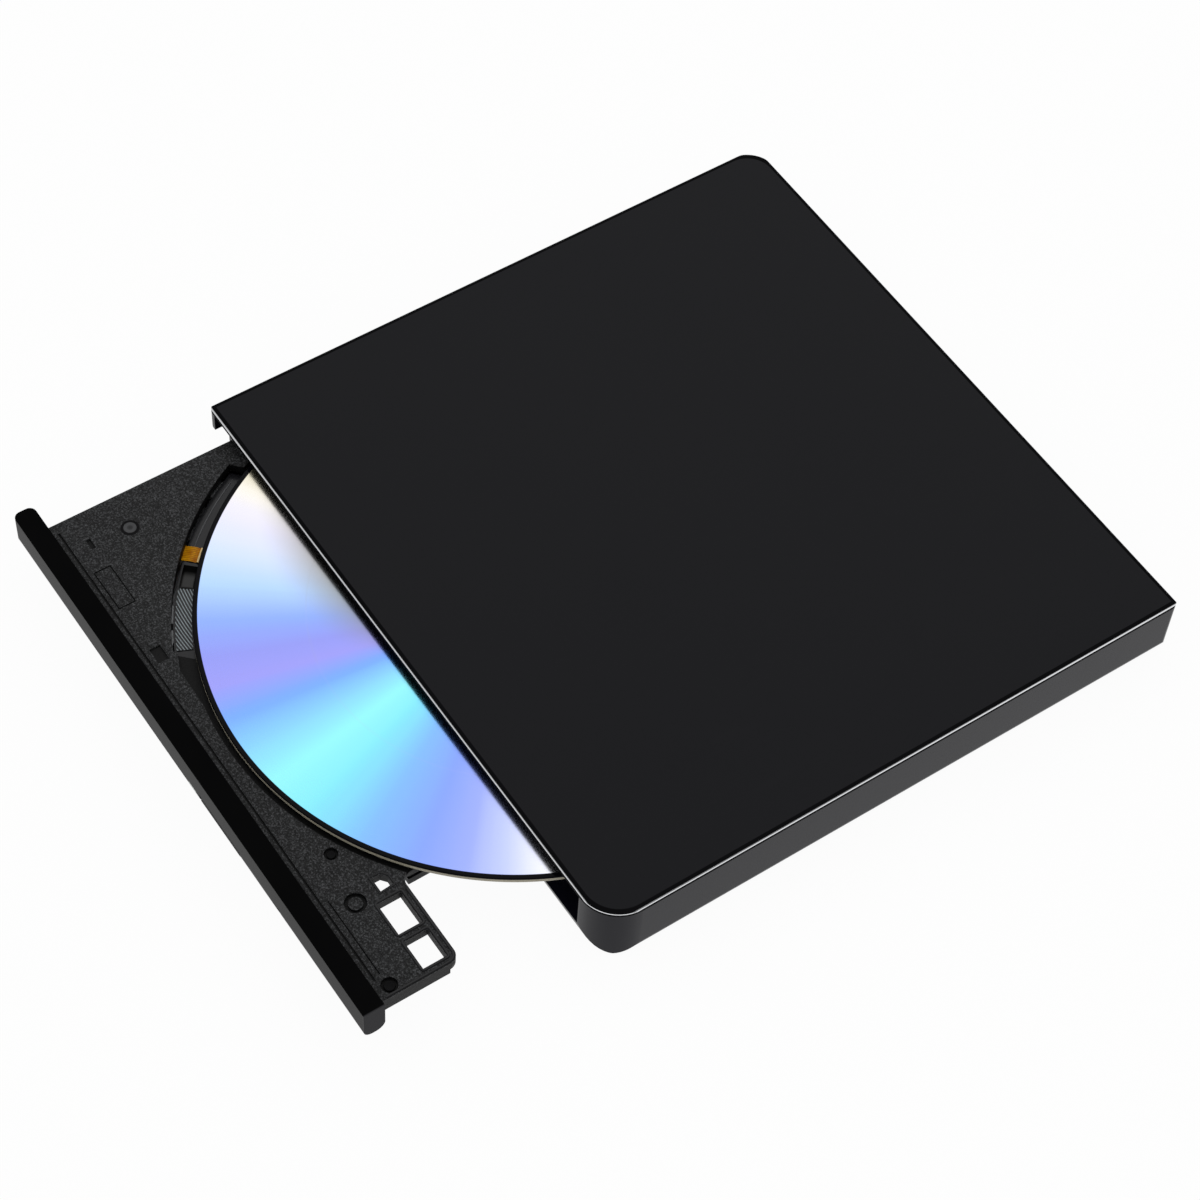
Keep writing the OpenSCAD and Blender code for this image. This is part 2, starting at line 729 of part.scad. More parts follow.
// Moulded marks in the tray's face: grooves by the bezel, pin marks and pockets
module face_marks() {
    z0 = z_tray - mark;
    slab(tray_x0 + 2.25, tray_x1 + 16, y_bezel + 1.4, y_bezel + 1.85, z0, case_h);
    slab(tray_x1 - 2, tray_x1 + 15.3, y_bezel + 2.95, y_bezel + 3.2, z0, case_h);
    difference() {
        slab(tray_x0 + 13.85, tray_x0 + 23.75, y_bezel + 2.7, y_bezel + 6.4, z0, case_h);
        slab(tray_x0 + 14.1, tray_x0 + 23.5, y_bezel + 2.95, y_bezel + 6.15, z0 - over, case_h + over);
    }
    slab(tray_x0 + 34.75, tray_x0 + 38.35, y_bezel + 2.95, y_bezel + 5.2, z0, case_h);
    slab(tray_x0 + 6.45, tray_x0 + 8.85, y_bezel + 5.2, y_bezel + 6.1, z0, case_h);
    difference() {
        rod([tray_x0 + 8.15, y_bezel + 13.7], z0, case_h, 1.7);
        rod([tray_x0 + 8.15, y_bezel + 13.7], z0 - over, case_h + over, 1.35);
    }
    rod([tray_x1 - 10.1, y_bezel + 8.6], z0 - pocket, case_h, 1.35);
    difference() {
        rod([tray_x1 + 0.85, y_bezel + 7], z0 - pocket, case_h, 2.1);
        rod([tray_x1 + 0.85, y_bezel + 7], z0 - over, z_tray - 0.25, 1.35);
    }
    rod([bar_x1 - 2.2, y_bezel + 3.4], z0 - pocket, case_h, 1.6);
}

module tray() {
    color("#26282a") on_tray() difference() {
        union() {
            translate([0, 0, z_under]) linear_extrude(z_tray - z_under) tray_outline();
            slab(tray_x0, tray_x0 + tray_wall, y_bezel, tray_y1 - 2, z_mech, z_under + join);
            slab(tray_x1 - tray_wall, tray_x1, bar_y1 + sight, tray_y1 - 2, z_mech, z_under + join);
            slab(bar_x1 - 1.2, bar_x1, y_bezel, bar_y1 - bar_round, z_under - 1.4, z_under + join);
            for (p = tray_bosses) rod(p, z_mech, z_under + join, boss_r);
            translate([disc_x, disc_y, 0]) rotate([0, 0, travel_angle])
                for (p = grommets) rod(p, z_deck + grommet_lip, z_under + join, grommet_r);
            for (x = [led_x, release_x + 1])
                rod([x, y_bezel + 8.2], switch_board_z + switch_board_t, z_under + join, 1.3);
            rod([latch_x, latch_y], latch_z0 - 0.3, z_under + join, latch_pivot_r);
        }
        translate([disc_x, disc_y, 0]) rotate([0, 0, travel_angle]) {
            translate([0, 0, z_well]) linear_extrude(case_h) disc_well();
            translate([0, 0, z_well - small_well]) cylinder(h = case_h, r = small_well_r);
            translate([0, 0, z_mech]) linear_extrude(case_h) traverse_window();
            for (p = grommets) rod(p, z_mech, z_under + 0.4, pilot_r);
        }
        rail_groove();
        tray_windows();
        face_marks();
        for (p = tray_bosses) rod(p, z_mech - over, z_under - 0.6, pilot_r);
    }
}

// Grooves that the rails' tongues run in, open at the back
module rail_groove() {
    depth = tongue_d - rail_gap + slide_gap;
    z0 = tongue_z0 - slide_gap;
    z1 = tongue_z0 + tongue_h + slide_gap;
    y0 = tray_y1 - rail_len - 1.5;
    slab(tray_x0 - over, tray_x0 + depth, y0, tray_y1 + over, z0, z1);
    slab(tray_x1 - depth, tray_x1 + over, y0, tray_y1 + over, z0, z1);
}

// Bezel with a flat top and a round lower edge
module front_bezel() {
    color("#1a1a1c") on_tray() difference() {
        intersection() {
            along_x(bezel_x0, bezel_x1)
                round_section(y_front, y_bezel, bezel_z0, bezel_z1, bezel_round, bezel_round);
            translate([0, 0, bezel_z0]) linear_extrude(bezel_z1 - bezel_z0)
                corner_plate(bezel_x0, bezel_x1, y_front, y_bezel, bezel_end, 0.01, 0.01, bezel_end);
        }
        slab(button_x - button_w / 2 - button_gap, button_x + button_w / 2 + button_gap, y_front - over,
             y_bezel + over, button_z - button_h / 2 - button_gap, button_z + button_h / 2 + button_gap);
        slab(led_x - led_w / 2, led_x + led_w / 2, y_front - over, y_bezel + over, button_z - led_h / 2,
             button_z + led_h / 2);
        translate([release_x, y_front - over, button_z]) rotate([-90, 0, 0])
            cylinder(h = bezel_d + 2 * over, r = release_r);
    }
}

module led_lens() {
    color("#9fb7a8") on_tray()
        slab(led_x - led_w / 2, led_x + led_w / 2, y_front + 0.1, y_bezel + 0.6, button_z - led_h / 2,
             button_z + led_h / 2);
}

module switch_board() {
    color("#14532f") on_tray() difference() {
        slab(led_x - 3, release_x + 3, switch_y0, y_bezel + 10, switch_board_z,
             switch_board_z + switch_board_t);
        slab(release_x - 1, release_x + 1, switch_y0 - over, switch_y0 + 3, switch_board_z - over, case_h);
    }
}

module eject_switch() {
    z0 = switch_board_z + switch_board_t;
    color("#c9cbce") on_tray() slab(button_x - 2.2, button_x + 2.2, switch_y0, switch_y0 + 2.6, z0, z0 + 1.9);
}

module status_led() {
    z0 = switch_board_z + switch_board_t;
    color("#d9e6c8") on_tray() slab(led_x - 0.8, led_x + 0.8, y_bezel + 1.3, y_bezel + 2.4, z0, z0 + 1);
}

module tray_plate() {
    color("#aeb1b4") on_tray() difference() {
        translate([0, 0, z_plate]) linear_extrude(tray_plate_t)
            corner_plate(tray_x0 + 0.3, tray_x1 - 0.3, y_bezel + 1, tray_y1 - 2.4, 1, 1, 1, 1);
        slab(tray_x1 - sight_w, tray_x1, y_bezel, bar_y1 + sight, z_plate - over, z_mech + over);
        for (p = tray_bosses) rod(p, z_plate - over, z_mech + over, pass_r);
        translate([disc_x, disc_y, 0]) rotate([0, 0, travel_angle])
            for (p = grommets) rod(p, z_plate - over, z_mech + over, grommet_r + 0.2);
    }
}

module tray_screws() {
    color("#8d9094") on_tray() for (p = tray_bosses) {
        rod(p, z_plate - small_head_t, z_plate, small_head_r);
        rod(p, z_plate, z_under - 0.8, pilot_r);
    }
}

module traverse_frame() {
    color("#8f9396") on_traverse() difference() {
        union() {
            translate([0, 0, z_frame]) linear_extrude(frame_t) {
                translate([frame_x0, frame_y0]) square([shaft_x1 - frame_x0, frame_y1 - frame_y0]);
                translate([shaft_x1 - block_l, lug_y - lug_w / 2])
                    square([window_r + 5.5 - shaft_x1 + block_l, lug_w]);
            }
            for (x = [shaft_x0, shaft_x1 - block_l]) {
                slab(x, x + block_l, main_y - block_half, main_y + block_half, z_frame, block_z1);
                slab(x, x + block_l, -sub_y - block_half, -sub_y + block_half, z_frame, block_z1);
            }
            slab(shaft_x1 - block_l, shaft_x1, screw_y - block_half, screw_y + block_half, z_frame, block_z1);
            for (x = [motor_x0, motor_x1 - motor_ear])
                slab(x, x + motor_ear, screw_y - motor_r - 0.6, screw_y + motor_r + 0.6, z_frame, block_z1);
        }
        slab(shaft_x0 + block_l + 0.2, shaft_x1 - block_l - 0.2, frame_y0 + frame_rim, frame_y1 - frame_rim,
             z_frame - over, z_deck + over);
        slab(motor_x0 + motor_ear, motor_x1 - motor_ear, screw_y - motor_r - 0.05, screw_y + motor_r + 0.05,
             z_frame - over, z_under);
        for (p = grommets) rod(p, z_frame - over, z_deck + over, grommet_hole);
        translate([0, main_y, shaft_z]) rotate([0, 90, 0]) cylinder(h = shaft_x1 + over, r = shaft_r);
        translate([0, -sub_y, shaft_z]) rotate([0, 90, 0]) cylinder(h = shaft_x1 + over, r = shaft_r);
        translate([0, screw_y, shaft_z]) rotate([0, 90, 0])
            cylinder(h = shaft_x1 + over, r = shaft_r + run_gap);
    }
}

// Thin cover over the traverse with a slot for the pickup
module traverse_cover() {
    color("#1d1e20") on_traverse() translate([0, 0, cover_z0]) linear_extrude(trav_cover_t) difference() {
        intersection() {
            circle(window_r - 0.3);
            translate([13, window_y0 + 0.4]) square([window_r, window_y1 - window_y0 - 0.8]);
        }
        translate([0, -pickup_half - slot_gap]) square([slot_end, 2 * (pickup_half + slot_gap)]);
        polygon([[slot_end - over, 3], [slot_end + 2.4, 3.2], [slot_end + 2.4, 7], [slot_end - over, 6.6]]);
    }
}

module damper_grommets() {
    color("#2a2a2a") on_traverse() for (p = grommets) difference() {
        union() {
            rod(p, z_frame - grommet_lip, z_frame, grommet_r);
            rod(p, z_frame, z_deck, grommet_hole);
            rod(p, z_deck, z_deck + grommet_lip, grommet_r);
        }
        rod(p, z_frame - over, z_deck + over, grommet_bore);
    }
}

module damper_screws() {
    color("#8d9094") on_traverse() for (p = grommets) {
        rod(p, z_plate, z_frame - grommet_lip, 1.6);
        rod(p, z_frame - grommet_lip, z_under + 0.3, pilot_r);
    }
}

module spindle_stator() {
    color("#9a5a2a") on_traverse() difference() {
        union() {
            rod([0, 0], z_deck, z_deck + 0.3, stator_r);
            for (a = [0:40:320]) rotate([0, 0, a])
                slab(pole_in, stator_r - 0.4, -pole_half, pole_half, z_deck + 0.3 - join, z_deck + 0.95);
            rod([0, 0], z_deck, z_deck + 2.1, sleeve_r);
        }
        rod([0, 0], z_deck + 0.05, z_under + over, spindle_r + run_gap);
    }
}

module main_guide_shaft() {
    color("#dfe1e3") on_traverse() translate([shaft_x0, main_y, shaft_z]) rotate([0, 90, 0])
        cylinder(h = shaft_x1 - shaft_x0, r = shaft_r);
}

module sub_guide_shaft() {
    color("#dfe1e3") on_traverse() translate([shaft_x0, -sub_y, shaft_z]) rotate([0, 90, 0])
        cylinder(h = shaft_x1 - shaft_x0, r = shaft_r);
}

// Flat-sided motor can that turns the lead screw
module sled_motor() {
    color("#bfc2c5") on_traverse() difference() {
        intersection() {
            translate([motor_x0 + motor_ear, screw_y, shaft_z]) rotate([0, 90, 0])
                cylinder(h = motor_l - 2 * motor_ear, r = motor_r);
            slab(motor_x0, motor_x1, screw_y - motor_r, screw_y + motor_r, z_mech + 0.1, z_under - 0.1);
        }
        translate([motor_x1 - 5, screw_y, shaft_z]) rotate([0, 90, 0])
            cylinder(h = 10, r = shaft_r + run_gap);
    }
}

module latch_solenoid() {
    z0 = latch_z0 - 0.4;
    color("#7d4a22") on_tray() difference() {
        slab(coil_x0, coil_x1, plunger_y - 2, plunger_y + 2, z0, z_under);
        translate([coil_x0 + 1.5, plunger_y, latch_z0 + latch_t / 2]) rotate([0, 90, 0])
            cylinder(h = coil_x1, r = plunger_r + run_gap);
    }
}

module pickup_flex() {
    z0 = cover_z0 + trav_cover_t;
    color("#d8841c") on_traverse()
        slab(slot_end + 0.1, window_r + 7, -flex_w / 2, flex_w / 2, z0, z0 + flex_t);
}

// Ribbed strip on the traverse cover, seen between the disc and the tray's edge
module damping_strip() {
    z0 = cover_z0 + trav_cover_t;
    color("#8a8d90") on_traverse() {
        translate([0, 0, z0]) linear_extrude(strip_t) intersection() {
            difference() {
                circle(window_r - 0.7);
                circle(slot_end + 0.6);
            }
            polygon([[0, 0], 1.1 * window_r * [cos(strip_from), sin(strip_from)],
                     1.1 * window_r * [cos(strip_to), sin(strip_to)]]);
        }
    }
}

// Rails

// Rail with a tongue on the tray's side and a groove on the guide's side
module rail(z1) {
    y0 = tray_y1 - rail_len;
    difference() {
        union() {
            slab(rail_in, rail_out, y0, tray_y1, rail_z0, z1);
            slab(rail_gap - tongue_d, rail_in, y0, tray_y1, tongue_z0, tongue_z0 + tongue_h);
        }
        slab(rail_out - rib_d, rail_out + over, y0 - over, tray_y1 + over, rib_z0, rib_z0 + rib_h);
    }
}

module left_rail() {
    color("#3a3b3e") on_rail() on_left_edge() rail(left_rail_z1);
}

module right_rail() {
    color("#3a3b3e") on_rail() on_right_edge() rail(right_rail_z1);
}

// Spindle and disc

module turntable() {
    color("#c7c9cb") on_traverse() difference() {
        union() {
            rod([0, 0], z_deck + 0.1, z_under, spindle_r);
            rod([0, 0], z_deck + 0.5, z_under + 0.5, rotor_r);
            rod([0, 0], z_under + 0.5, z_disc - pad_t, table_r);
            rod([0, 0], z_disc - pad_t, hub_top - hub_cone_h, hub_r);
            translate([0, 0, hub_top - hub_cone_h])
                cylinder(h = hub_cone_h, r1 = hub_r, r2 = hub_r - hub_cone_r);
        }
        difference() {
            rod([0, 0], z_deck, z_under, rotor_r - 1);
            rod([0, 0], z_deck, z_under + over, spindle_r);
        }
        rod([0, 0], hub_top - 1, hub_top + over, 1.8);
        for (a = [0:120:240]) rotate([0, 0, a])
            slab(jaw_in - 0.9, hub_r + over, -jaw_w / 2 - 0.1, jaw_w / 2 + 0.1, z_disc_top - jaw_root - 0.05,
                 hub_top + over);
    }
}

module turntable_pad() {
    color("#1c1c1c") on_traverse() difference() {
        rod([0, 0], z_disc - pad_t, z_disc, table_r - 0.4);
        rod([0, 0], z_disc - pad_t - over, z_disc + over, hub_r + 1.6);
    }
}

// Sprung jaw that holds the disc down on the turntable
module chuck_jaw(i) {
    color("#e2e4e6") on_traverse() rotate([0, 0, 120 * i]) {
        slab(jaw_in, hub_r - run_gap, -jaw_w / 2, jaw_w / 2, z_disc_top - jaw_root, jaw_z1);
        slab(hub_r - run_gap - join, hub_r + jaw_hook, -jaw_w / 2, jaw_w / 2, jaw_z0, jaw_z1);
    }
}

module chuck_jaw_1() {
    chuck_jaw(0);
}

module chuck_jaw_2() {
    chuck_jaw(1);
}

module chuck_jaw_3() {
    chuck_jaw(2);
}

module disc() {
    color("#bcd3f2") on_traverse() difference() {
        rod([0, 0], z_disc, z_disc_top, disc_r);
        rod([0, 0], z_disc - over, z_disc_top + over, disc_hole_d / 2);
    }
}

// Pickup

module pickup_carriage() {
    x0 = lens_at - pickup_back;
    x1 = lens_at + pickup_front;
    color("#4a4c50") on_traverse() difference() {
        union() {
            slab(lens_at - bearing_back, x1, -sub_y - 1.6, main_y + 1.8, carriage_z0, block_z1);
            slab(x0, x1, -pickup_half, pickup_half, z_deck + 0.2, z_under + 0.2);
        }
        translate([x0 - over, main_y, shaft_z]) rotate([0, 90, 0])
            cylinder(h = x1 - x0 + 2 * over, r = shaft_r + run_gap);
        slab(x0 - over, x1 + over, -sub_y - 2, -sub_y + shaft_r + run_gap, shaft_z - shaft_r - run_gap,
             shaft_z + shaft_r + run_gap);
        slab(lens_at - 2.4, x1 + over, -3.6, 3.6, z_under - 0.7, z_under + over);
    }
}

// Arm that takes the lead screw's motion to the carriage
module screw_follower() {
    x0 = lens_at - bearing_back;
    color("#d8d4c4") on_traverse() difference() {
        slab(x0, x0 + 4, main_y + 1.8, screw_y + 1.6, carriage_z0, block_z1);
        translate([x0 - over, screw_y, shaft_z]) rotate([0, 90, 0])
            cylinder(h = 4 + 2 * over, r = shaft_r + run_gap);
    }
}

module lens_holder() {
    color("#202124") on_traverse() difference() {
        slab(lens_at - 2.1, lens_at + 1.8, -3.3, 3.3, z_under - 0.25, z_under + 0.5);
        rod([lens_at, 0], z_under - over, z_under + over, 1.3);
    }
}

module objective_lens() {
    color("#a9c4dc") on_traverse() intersection() {
        rod([lens_at, 0], z_under - 0.1, z_under + 1.2, 1.3);
        translate([lens_at, 0, z_under + 1.1 - 1.9]) sphere(1.9);
    }
}

// Lead screw with its thread drawn as rings, one pitch apart
module lead_screw() {
    turns = floor((shaft_x1 - motor_x1 - 6) / screw_pitch);
    color("#d5d7d9") on_traverse() translate([0, screw_y, shaft_z]) rotate([0, 90, 0]) difference() {
        translate([0, 0, motor_x1 - 4.5]) cylinder(h = shaft_x1 - motor_x1 + 4.3, r = shaft_r);
        for (i = [0:turns]) translate([0, 0, motor_x1 + 2 + i * screw_pitch]) difference() {
            cylinder(h = screw_pitch / 3, r = shaft_r + over);
            translate([0, 0, -over]) cylinder(h = screw_pitch, r = shaft_r - 0.2);
        }
    }
}

// Button and latch

module eject_button() {
    color("#111113") on_tray() {
        slab(button_x - button_w / 2, button_x + button_w / 2, y_front + 0.15, y_bezel,
             button_z - button_h / 2, button_z + button_h / 2);
        slab(button_x - 1.5, button_x + 1.5, y_bezel, button_back, button_z - button_h / 2 + 0.1,
             button_z + button_h / 2 - 0.1);
    }
}

// Hook that turns on a boss of the tray and holds the pin on the base pan
module latch_lever() {
    arm_w = 1.2;
    tip_y = latch_y + latch_len;
    beak_y0 = pin_y + pin_r + 0.3;
    color("#d8d4c4") on_tray() difference() {
        union() {
            rod([latch_x, latch_y], latch_z0, latch_z0 + latch_t, latch_pivot_r + 0.9);
            slab(latch_x - arm_w / 2, latch_x + arm_w / 2, latch_y, tip_y, latch_z0, latch_z0 + latch_t);
            translate([0, 0, latch_z0]) linear_extrude(latch_t)
                polygon([[latch_x - arm_w / 2, beak_y0], [pin_x + 0.6, beak_y0], [pin_x + 0.2, beak_y0 + 0.8],
                         [latch_x + arm_w / 2, tip_y], [latch_x - arm_w / 2, tip_y]]);
        }
        rod([latch_x, latch_y], latch_z0 - over, latch_z0 + latch_t + over, latch_pivot_r + run_gap);
    }
}

module solenoid_plunger() {
    color("#c7c9cb") on_tray() translate([coil_x0 + 3, plunger_y, latch_z0 + latch_t / 2]) rotate([0, 90, 0])
        cylinder(h = latch_x - 0.7 - coil_x0 - 3, r = plunger_r);
}

bottom_case();
top_cover();
rubber_feet();
case_screws();
base_pan();
pan_screws();
top_shield();
left_rail_guide();
right_rail_guide();
main_board();
board_chips();
board_screws();
usb_socket();
usb_tongue();
flat_cable_socket();
flat_cable();
latch_pin();
tray();
front_bezel();
led_lens();
status_led();
eject_switch();
switch_board();
tray_plate();
tray_screws();
traverse_frame();
traverse_cover();
damper_grommets();
damper_screws();
spindle_stator();
main_guide_shaft();
sub_guide_shaft();
sled_motor();
latch_solenoid();
pickup_flex();
damping_strip();
left_rail();
right_rail();
turntable();
turntable_pad();
chuck_jaw_1();
chuck_jaw_2();
chuck_jaw_3();
disc();
pickup_carriage();
screw_follower();
lens_holder();
objective_lens();
lead_screw();
eject_button();
latch_lever();
solenoid_plunger();
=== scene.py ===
"""Looks of a slim external disc drive: finishes, fine pieces and the stage, laid out as an add-on."""

import math

import bmesh
import bpy
import numpy as np
from bpy.props import FloatProperty, FloatVectorProperty, IntProperty, PointerProperty
from mathutils import Matrix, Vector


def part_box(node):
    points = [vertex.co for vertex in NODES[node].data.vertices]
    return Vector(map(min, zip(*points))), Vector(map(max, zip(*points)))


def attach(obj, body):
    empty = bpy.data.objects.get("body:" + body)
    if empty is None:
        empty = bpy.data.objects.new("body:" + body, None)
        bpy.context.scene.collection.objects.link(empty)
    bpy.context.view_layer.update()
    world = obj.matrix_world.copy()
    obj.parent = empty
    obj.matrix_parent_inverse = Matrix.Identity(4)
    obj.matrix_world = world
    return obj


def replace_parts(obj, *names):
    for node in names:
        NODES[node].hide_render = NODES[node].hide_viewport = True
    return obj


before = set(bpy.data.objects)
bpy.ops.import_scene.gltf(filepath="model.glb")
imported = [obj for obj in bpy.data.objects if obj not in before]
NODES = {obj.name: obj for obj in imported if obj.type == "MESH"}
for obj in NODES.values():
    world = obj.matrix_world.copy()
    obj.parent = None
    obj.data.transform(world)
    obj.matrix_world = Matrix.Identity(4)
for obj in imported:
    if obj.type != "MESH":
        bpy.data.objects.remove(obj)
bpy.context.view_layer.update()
MM = 0.001

bl_info = {
    "name": "Slim disc drive",
    "version": (1, 0, 0),
    "blender": (4, 5, 0),
    "location": "View3D > Sidebar > Drive",
    "description": "Finishes, fine pieces and stage of a slim external disc drive",
    "category": "Object",
}


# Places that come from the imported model, in millimetres

def node_box(name):
    """Lowest and highest corner of a CAD node at rest, in millimetres."""
    low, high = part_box(name)
    return np.array(low) / MM, np.array(high) / MM


DISC_LOW, DISC_HIGH = node_box("disc")
DISC_X, DISC_Y = (DISC_LOW[:2] + DISC_HIGH[:2]) / 2
DISC_R = (DISC_HIGH[0] - DISC_LOW[0]) / 2
DISC_Z0, DISC_Z1 = DISC_LOW[2], DISC_HIGH[2]
COVER_LOW, COVER_HIGH = node_box("top_cover")
COVER_TOP = COVER_HIGH[2]
TRAY_LOW, TRAY_HIGH = node_box("tray")
TRAY_FACE = TRAY_HIGH[2]
LEDGE = node_box("traverse_cover")[1][2]
BEZEL_END = node_box("front_bezel")[1][0]
CHUCK_JAWS = ["chuck_jaw_1", "chuck_jaw_2", "chuck_jaw_3"]

# The pickup's way, outwards from the disc's centre
TRAVEL = math.radians(225)
# Radii of the cover's corners: two sharp ones, the front right one and the back left one
SHARP_R, FRONT_R, BACK_R = 1.25, 8.0, 6.5
# Lugs on the tray: x and both ends in y
LUGS = [(-56.1, -101.5, -100.0), (-28.5, -102.8, -100.9)]
# Middle of the flat mark with a ring round it
RING_MARK = (-54.1, -92.3)
# Start and end of the ledge's pad round the disc, in degrees
PAD_TURN = (227.4, 232.45)


# Sizes and colours that a user would change

class CaseLook(bpy.types.PropertyGroup):
    """Finish of the case and its cover"""

    case_colour: FloatVectorProperty(name="Case colour", description="Glossy plastic of the case",
                                     subtype="COLOR", size=3, min=0, max=1, default=(0.0045, 0.0045, 0.0082))
    cover_colour: FloatVectorProperty(name="Cover colour", description="Satin plastic of the cover",
                                      subtype="COLOR", size=3, min=0, max=1, default=(0.0034, 0.0035, 0.0050))


class TrayLook(bpy.types.PropertyGroup):
    """Finish of the tray and its bezel"""

    tray_colour: FloatVectorProperty(name="Tray colour", description="Matte plastic of the tray",
                                     subtype="COLOR", size=3, min=0, max=1, default=(0.0165, 0.0170, 0.0178))
    bezel_colour: FloatVectorProperty(name="Bezel colour", description="Glossy plastic of the bezel",
                                      subtype="COLOR", size=3, min=0, max=1, default=(0.0016, 0.0016, 0.0017))
    edge_round: FloatProperty(name="Edge round", description="Small radius on the tray's edges",
                              subtype="DISTANCE", unit="LENGTH", min=0, max=0.0004, default=0.00012)


class DiscLook(bpy.types.PropertyGroup):
    """Form of the disc and its mirror"""

    clear_ring: FloatProperty(name="Clear ring", description="Width of the clear ring at the disc's edge",
                              subtype="DISTANCE", unit="LENGTH", min=0.0005, max=0.002, default=0.00095)
    hub_clear: FloatProperty(name="Clear hub", description="Radius of the clear part round the hole",
                             subtype="DISTANCE", unit="LENGTH", min=0.015, max=0.022, default=0.0185)
    segments: IntProperty(name="Segments", description="Steps round the disc", min=64, max=720, default=360)


class StageLook(bpy.types.PropertyGroup):
    """Floor, light and camera"""

    floor_size: FloatProperty(name="Floor size", description="Side of the floor", subtype="DISTANCE",
                              unit="LENGTH", min=1, max=20, default=8)
    world_light: FloatProperty(name="World light", description="Strength of the even light", min=0, max=2,
                               default=0.8)
    key_power: FloatProperty(name="Key power", description="Power of the large lamp", unit="POWER", min=0,
                             max=50, default=1.2)
    edge_light: FloatProperty(name="Edge light", description="Brightness of the low band in glossy edges",
                              min=0, max=5, default=0.85)
    field: FloatProperty(name="Field of view", description="Camera's angle across the picture",
                         subtype="ANGLE", unit="ROTATION", min=0.05, max=1.5,
                         default=math.radians(21.15127807522392))


# Shader maths

class Sock:
    """One output of a shader node. + - * / on it, with numbers or other outputs, add Math nodes."""

    def __init__(self, tree, socket):
        self.tree = tree
        self.socket = socket

    def node(self, kind, settings=None, inputs=None, out=0):
        """Adds a node: its settings first, a ramp's stops among them, then values or links of its sockets."""
        made = self.tree.nodes.new(kind)
        for key, value in (settings or {}).items():
            if key == "stops":
                ramp = made.color_ramp.elements
                while len(ramp) < len(value):
                    ramp.new(1.0)
                for stop, (place, colour) in zip(ramp, value):
                    stop.position = place
                    stop.color = (*colour, 1.0)
            else:
                setattr(made, key, value)
        for key, value in (inputs or {}).items():
            if isinstance(value, Sock):
                self.tree.links.new(value.socket, made.inputs[key])
            else:
                made.inputs[key].default_value = value
        return Sock(self.tree, made.outputs[out])

    def math(self, operation, first, second=0.0):
        """A Math node on two numbers or outputs."""
        return self.node("ShaderNodeMath", {"operation": operation}, {0: first, 1: second})

    def __add__(self, other):
        return self.math("ADD", self, other)

    def __radd__(self, other):
        return self.math("ADD", other, self)

    def __sub__(self, other):
        return self.math("SUBTRACT", self, other)

    def __rsub__(self, other):
        return self.math("SUBTRACT", other, self)

    def __mul__(self, other):
        return self.math("MULTIPLY", self, other)

    def __rmul__(self, other):
        return self.math("MULTIPLY", other, self)

    def __truediv__(self, other):
        return self.math("DIVIDE", self, other)

    def __rtruediv__(self, other):
        return self.math("DIVIDE", other, self)

    def step(self, low, high):
        """Smooth step from 0 at low to 1 at high."""
        return self.node("ShaderNodeMapRange", {"interpolation_type": "SMOOTHSTEP"},
                         {"Value": self, "From Min": low, "From Max": high, "To Min": 0.0, "To Max": 1.0})

    def band(self, low, high, soft):
        """1 between low and high, 0 outside, with soft edges."""
        return self.step(low - soft, low + soft) * (1 - self.step(high - soft, high + soft))

    def wave(self, period):
        """Sine of a length, from 0 to 1, once each period."""
        return self.math("SINE", self * (2 * math.pi / period)) * 0.5 + 0.5

    def mix(self, first, second):
        """Colour from first to second, by this factor."""
        ends = {6: first, 7: second}
        ends = {key: c if isinstance(c, Sock) else (*c, 1.0) for key, c in ends.items()}
        return self.node("ShaderNodeMix", {"data_type": "RGBA"}, {0: self, **ends}, out=2)

    def noise(self, size, detail=2.0, rough=0.5, stretch=(1, 1, 1)):
        """Noise on this vector, in millimetres, with lumps of about that size, from 0 to 1."""
        scale = [1.0 / (size * s) for s in stretch]
        place = self.node("ShaderNodeVectorMath", {"operation": "MULTIPLY"}, {0: self, 1: scale})
        return place.node("ShaderNodeTexNoise", {}, {"Vector": place, "Scale": 1.0, "Detail": detail,
                                                     "Roughness": rough})

    def cells(self, size, out="Distance"):
        """Cells of about that size on this vector, in millimetres."""
        return self.node("ShaderNodeTexVoronoi", {}, {"Vector": self, "Scale": 1.0 / size}, out=out)

    def bump(self, depth, strength=1.0):
        """Normal from this height, whose full range stands for a depth in millimetres."""
        return self.node("ShaderNodeBump", {}, {"Height": self, "Distance": depth * MM, "Strength": strength},
                         out="Normal")

    def axes(self):
        """The three parts of this vector."""
        parts = self.tree.nodes.new("ShaderNodeSeparateXYZ")
        self.tree.links.new(self.socket, parts.inputs[0])
        return [Sock(self.tree, part) for part in parts.outputs]


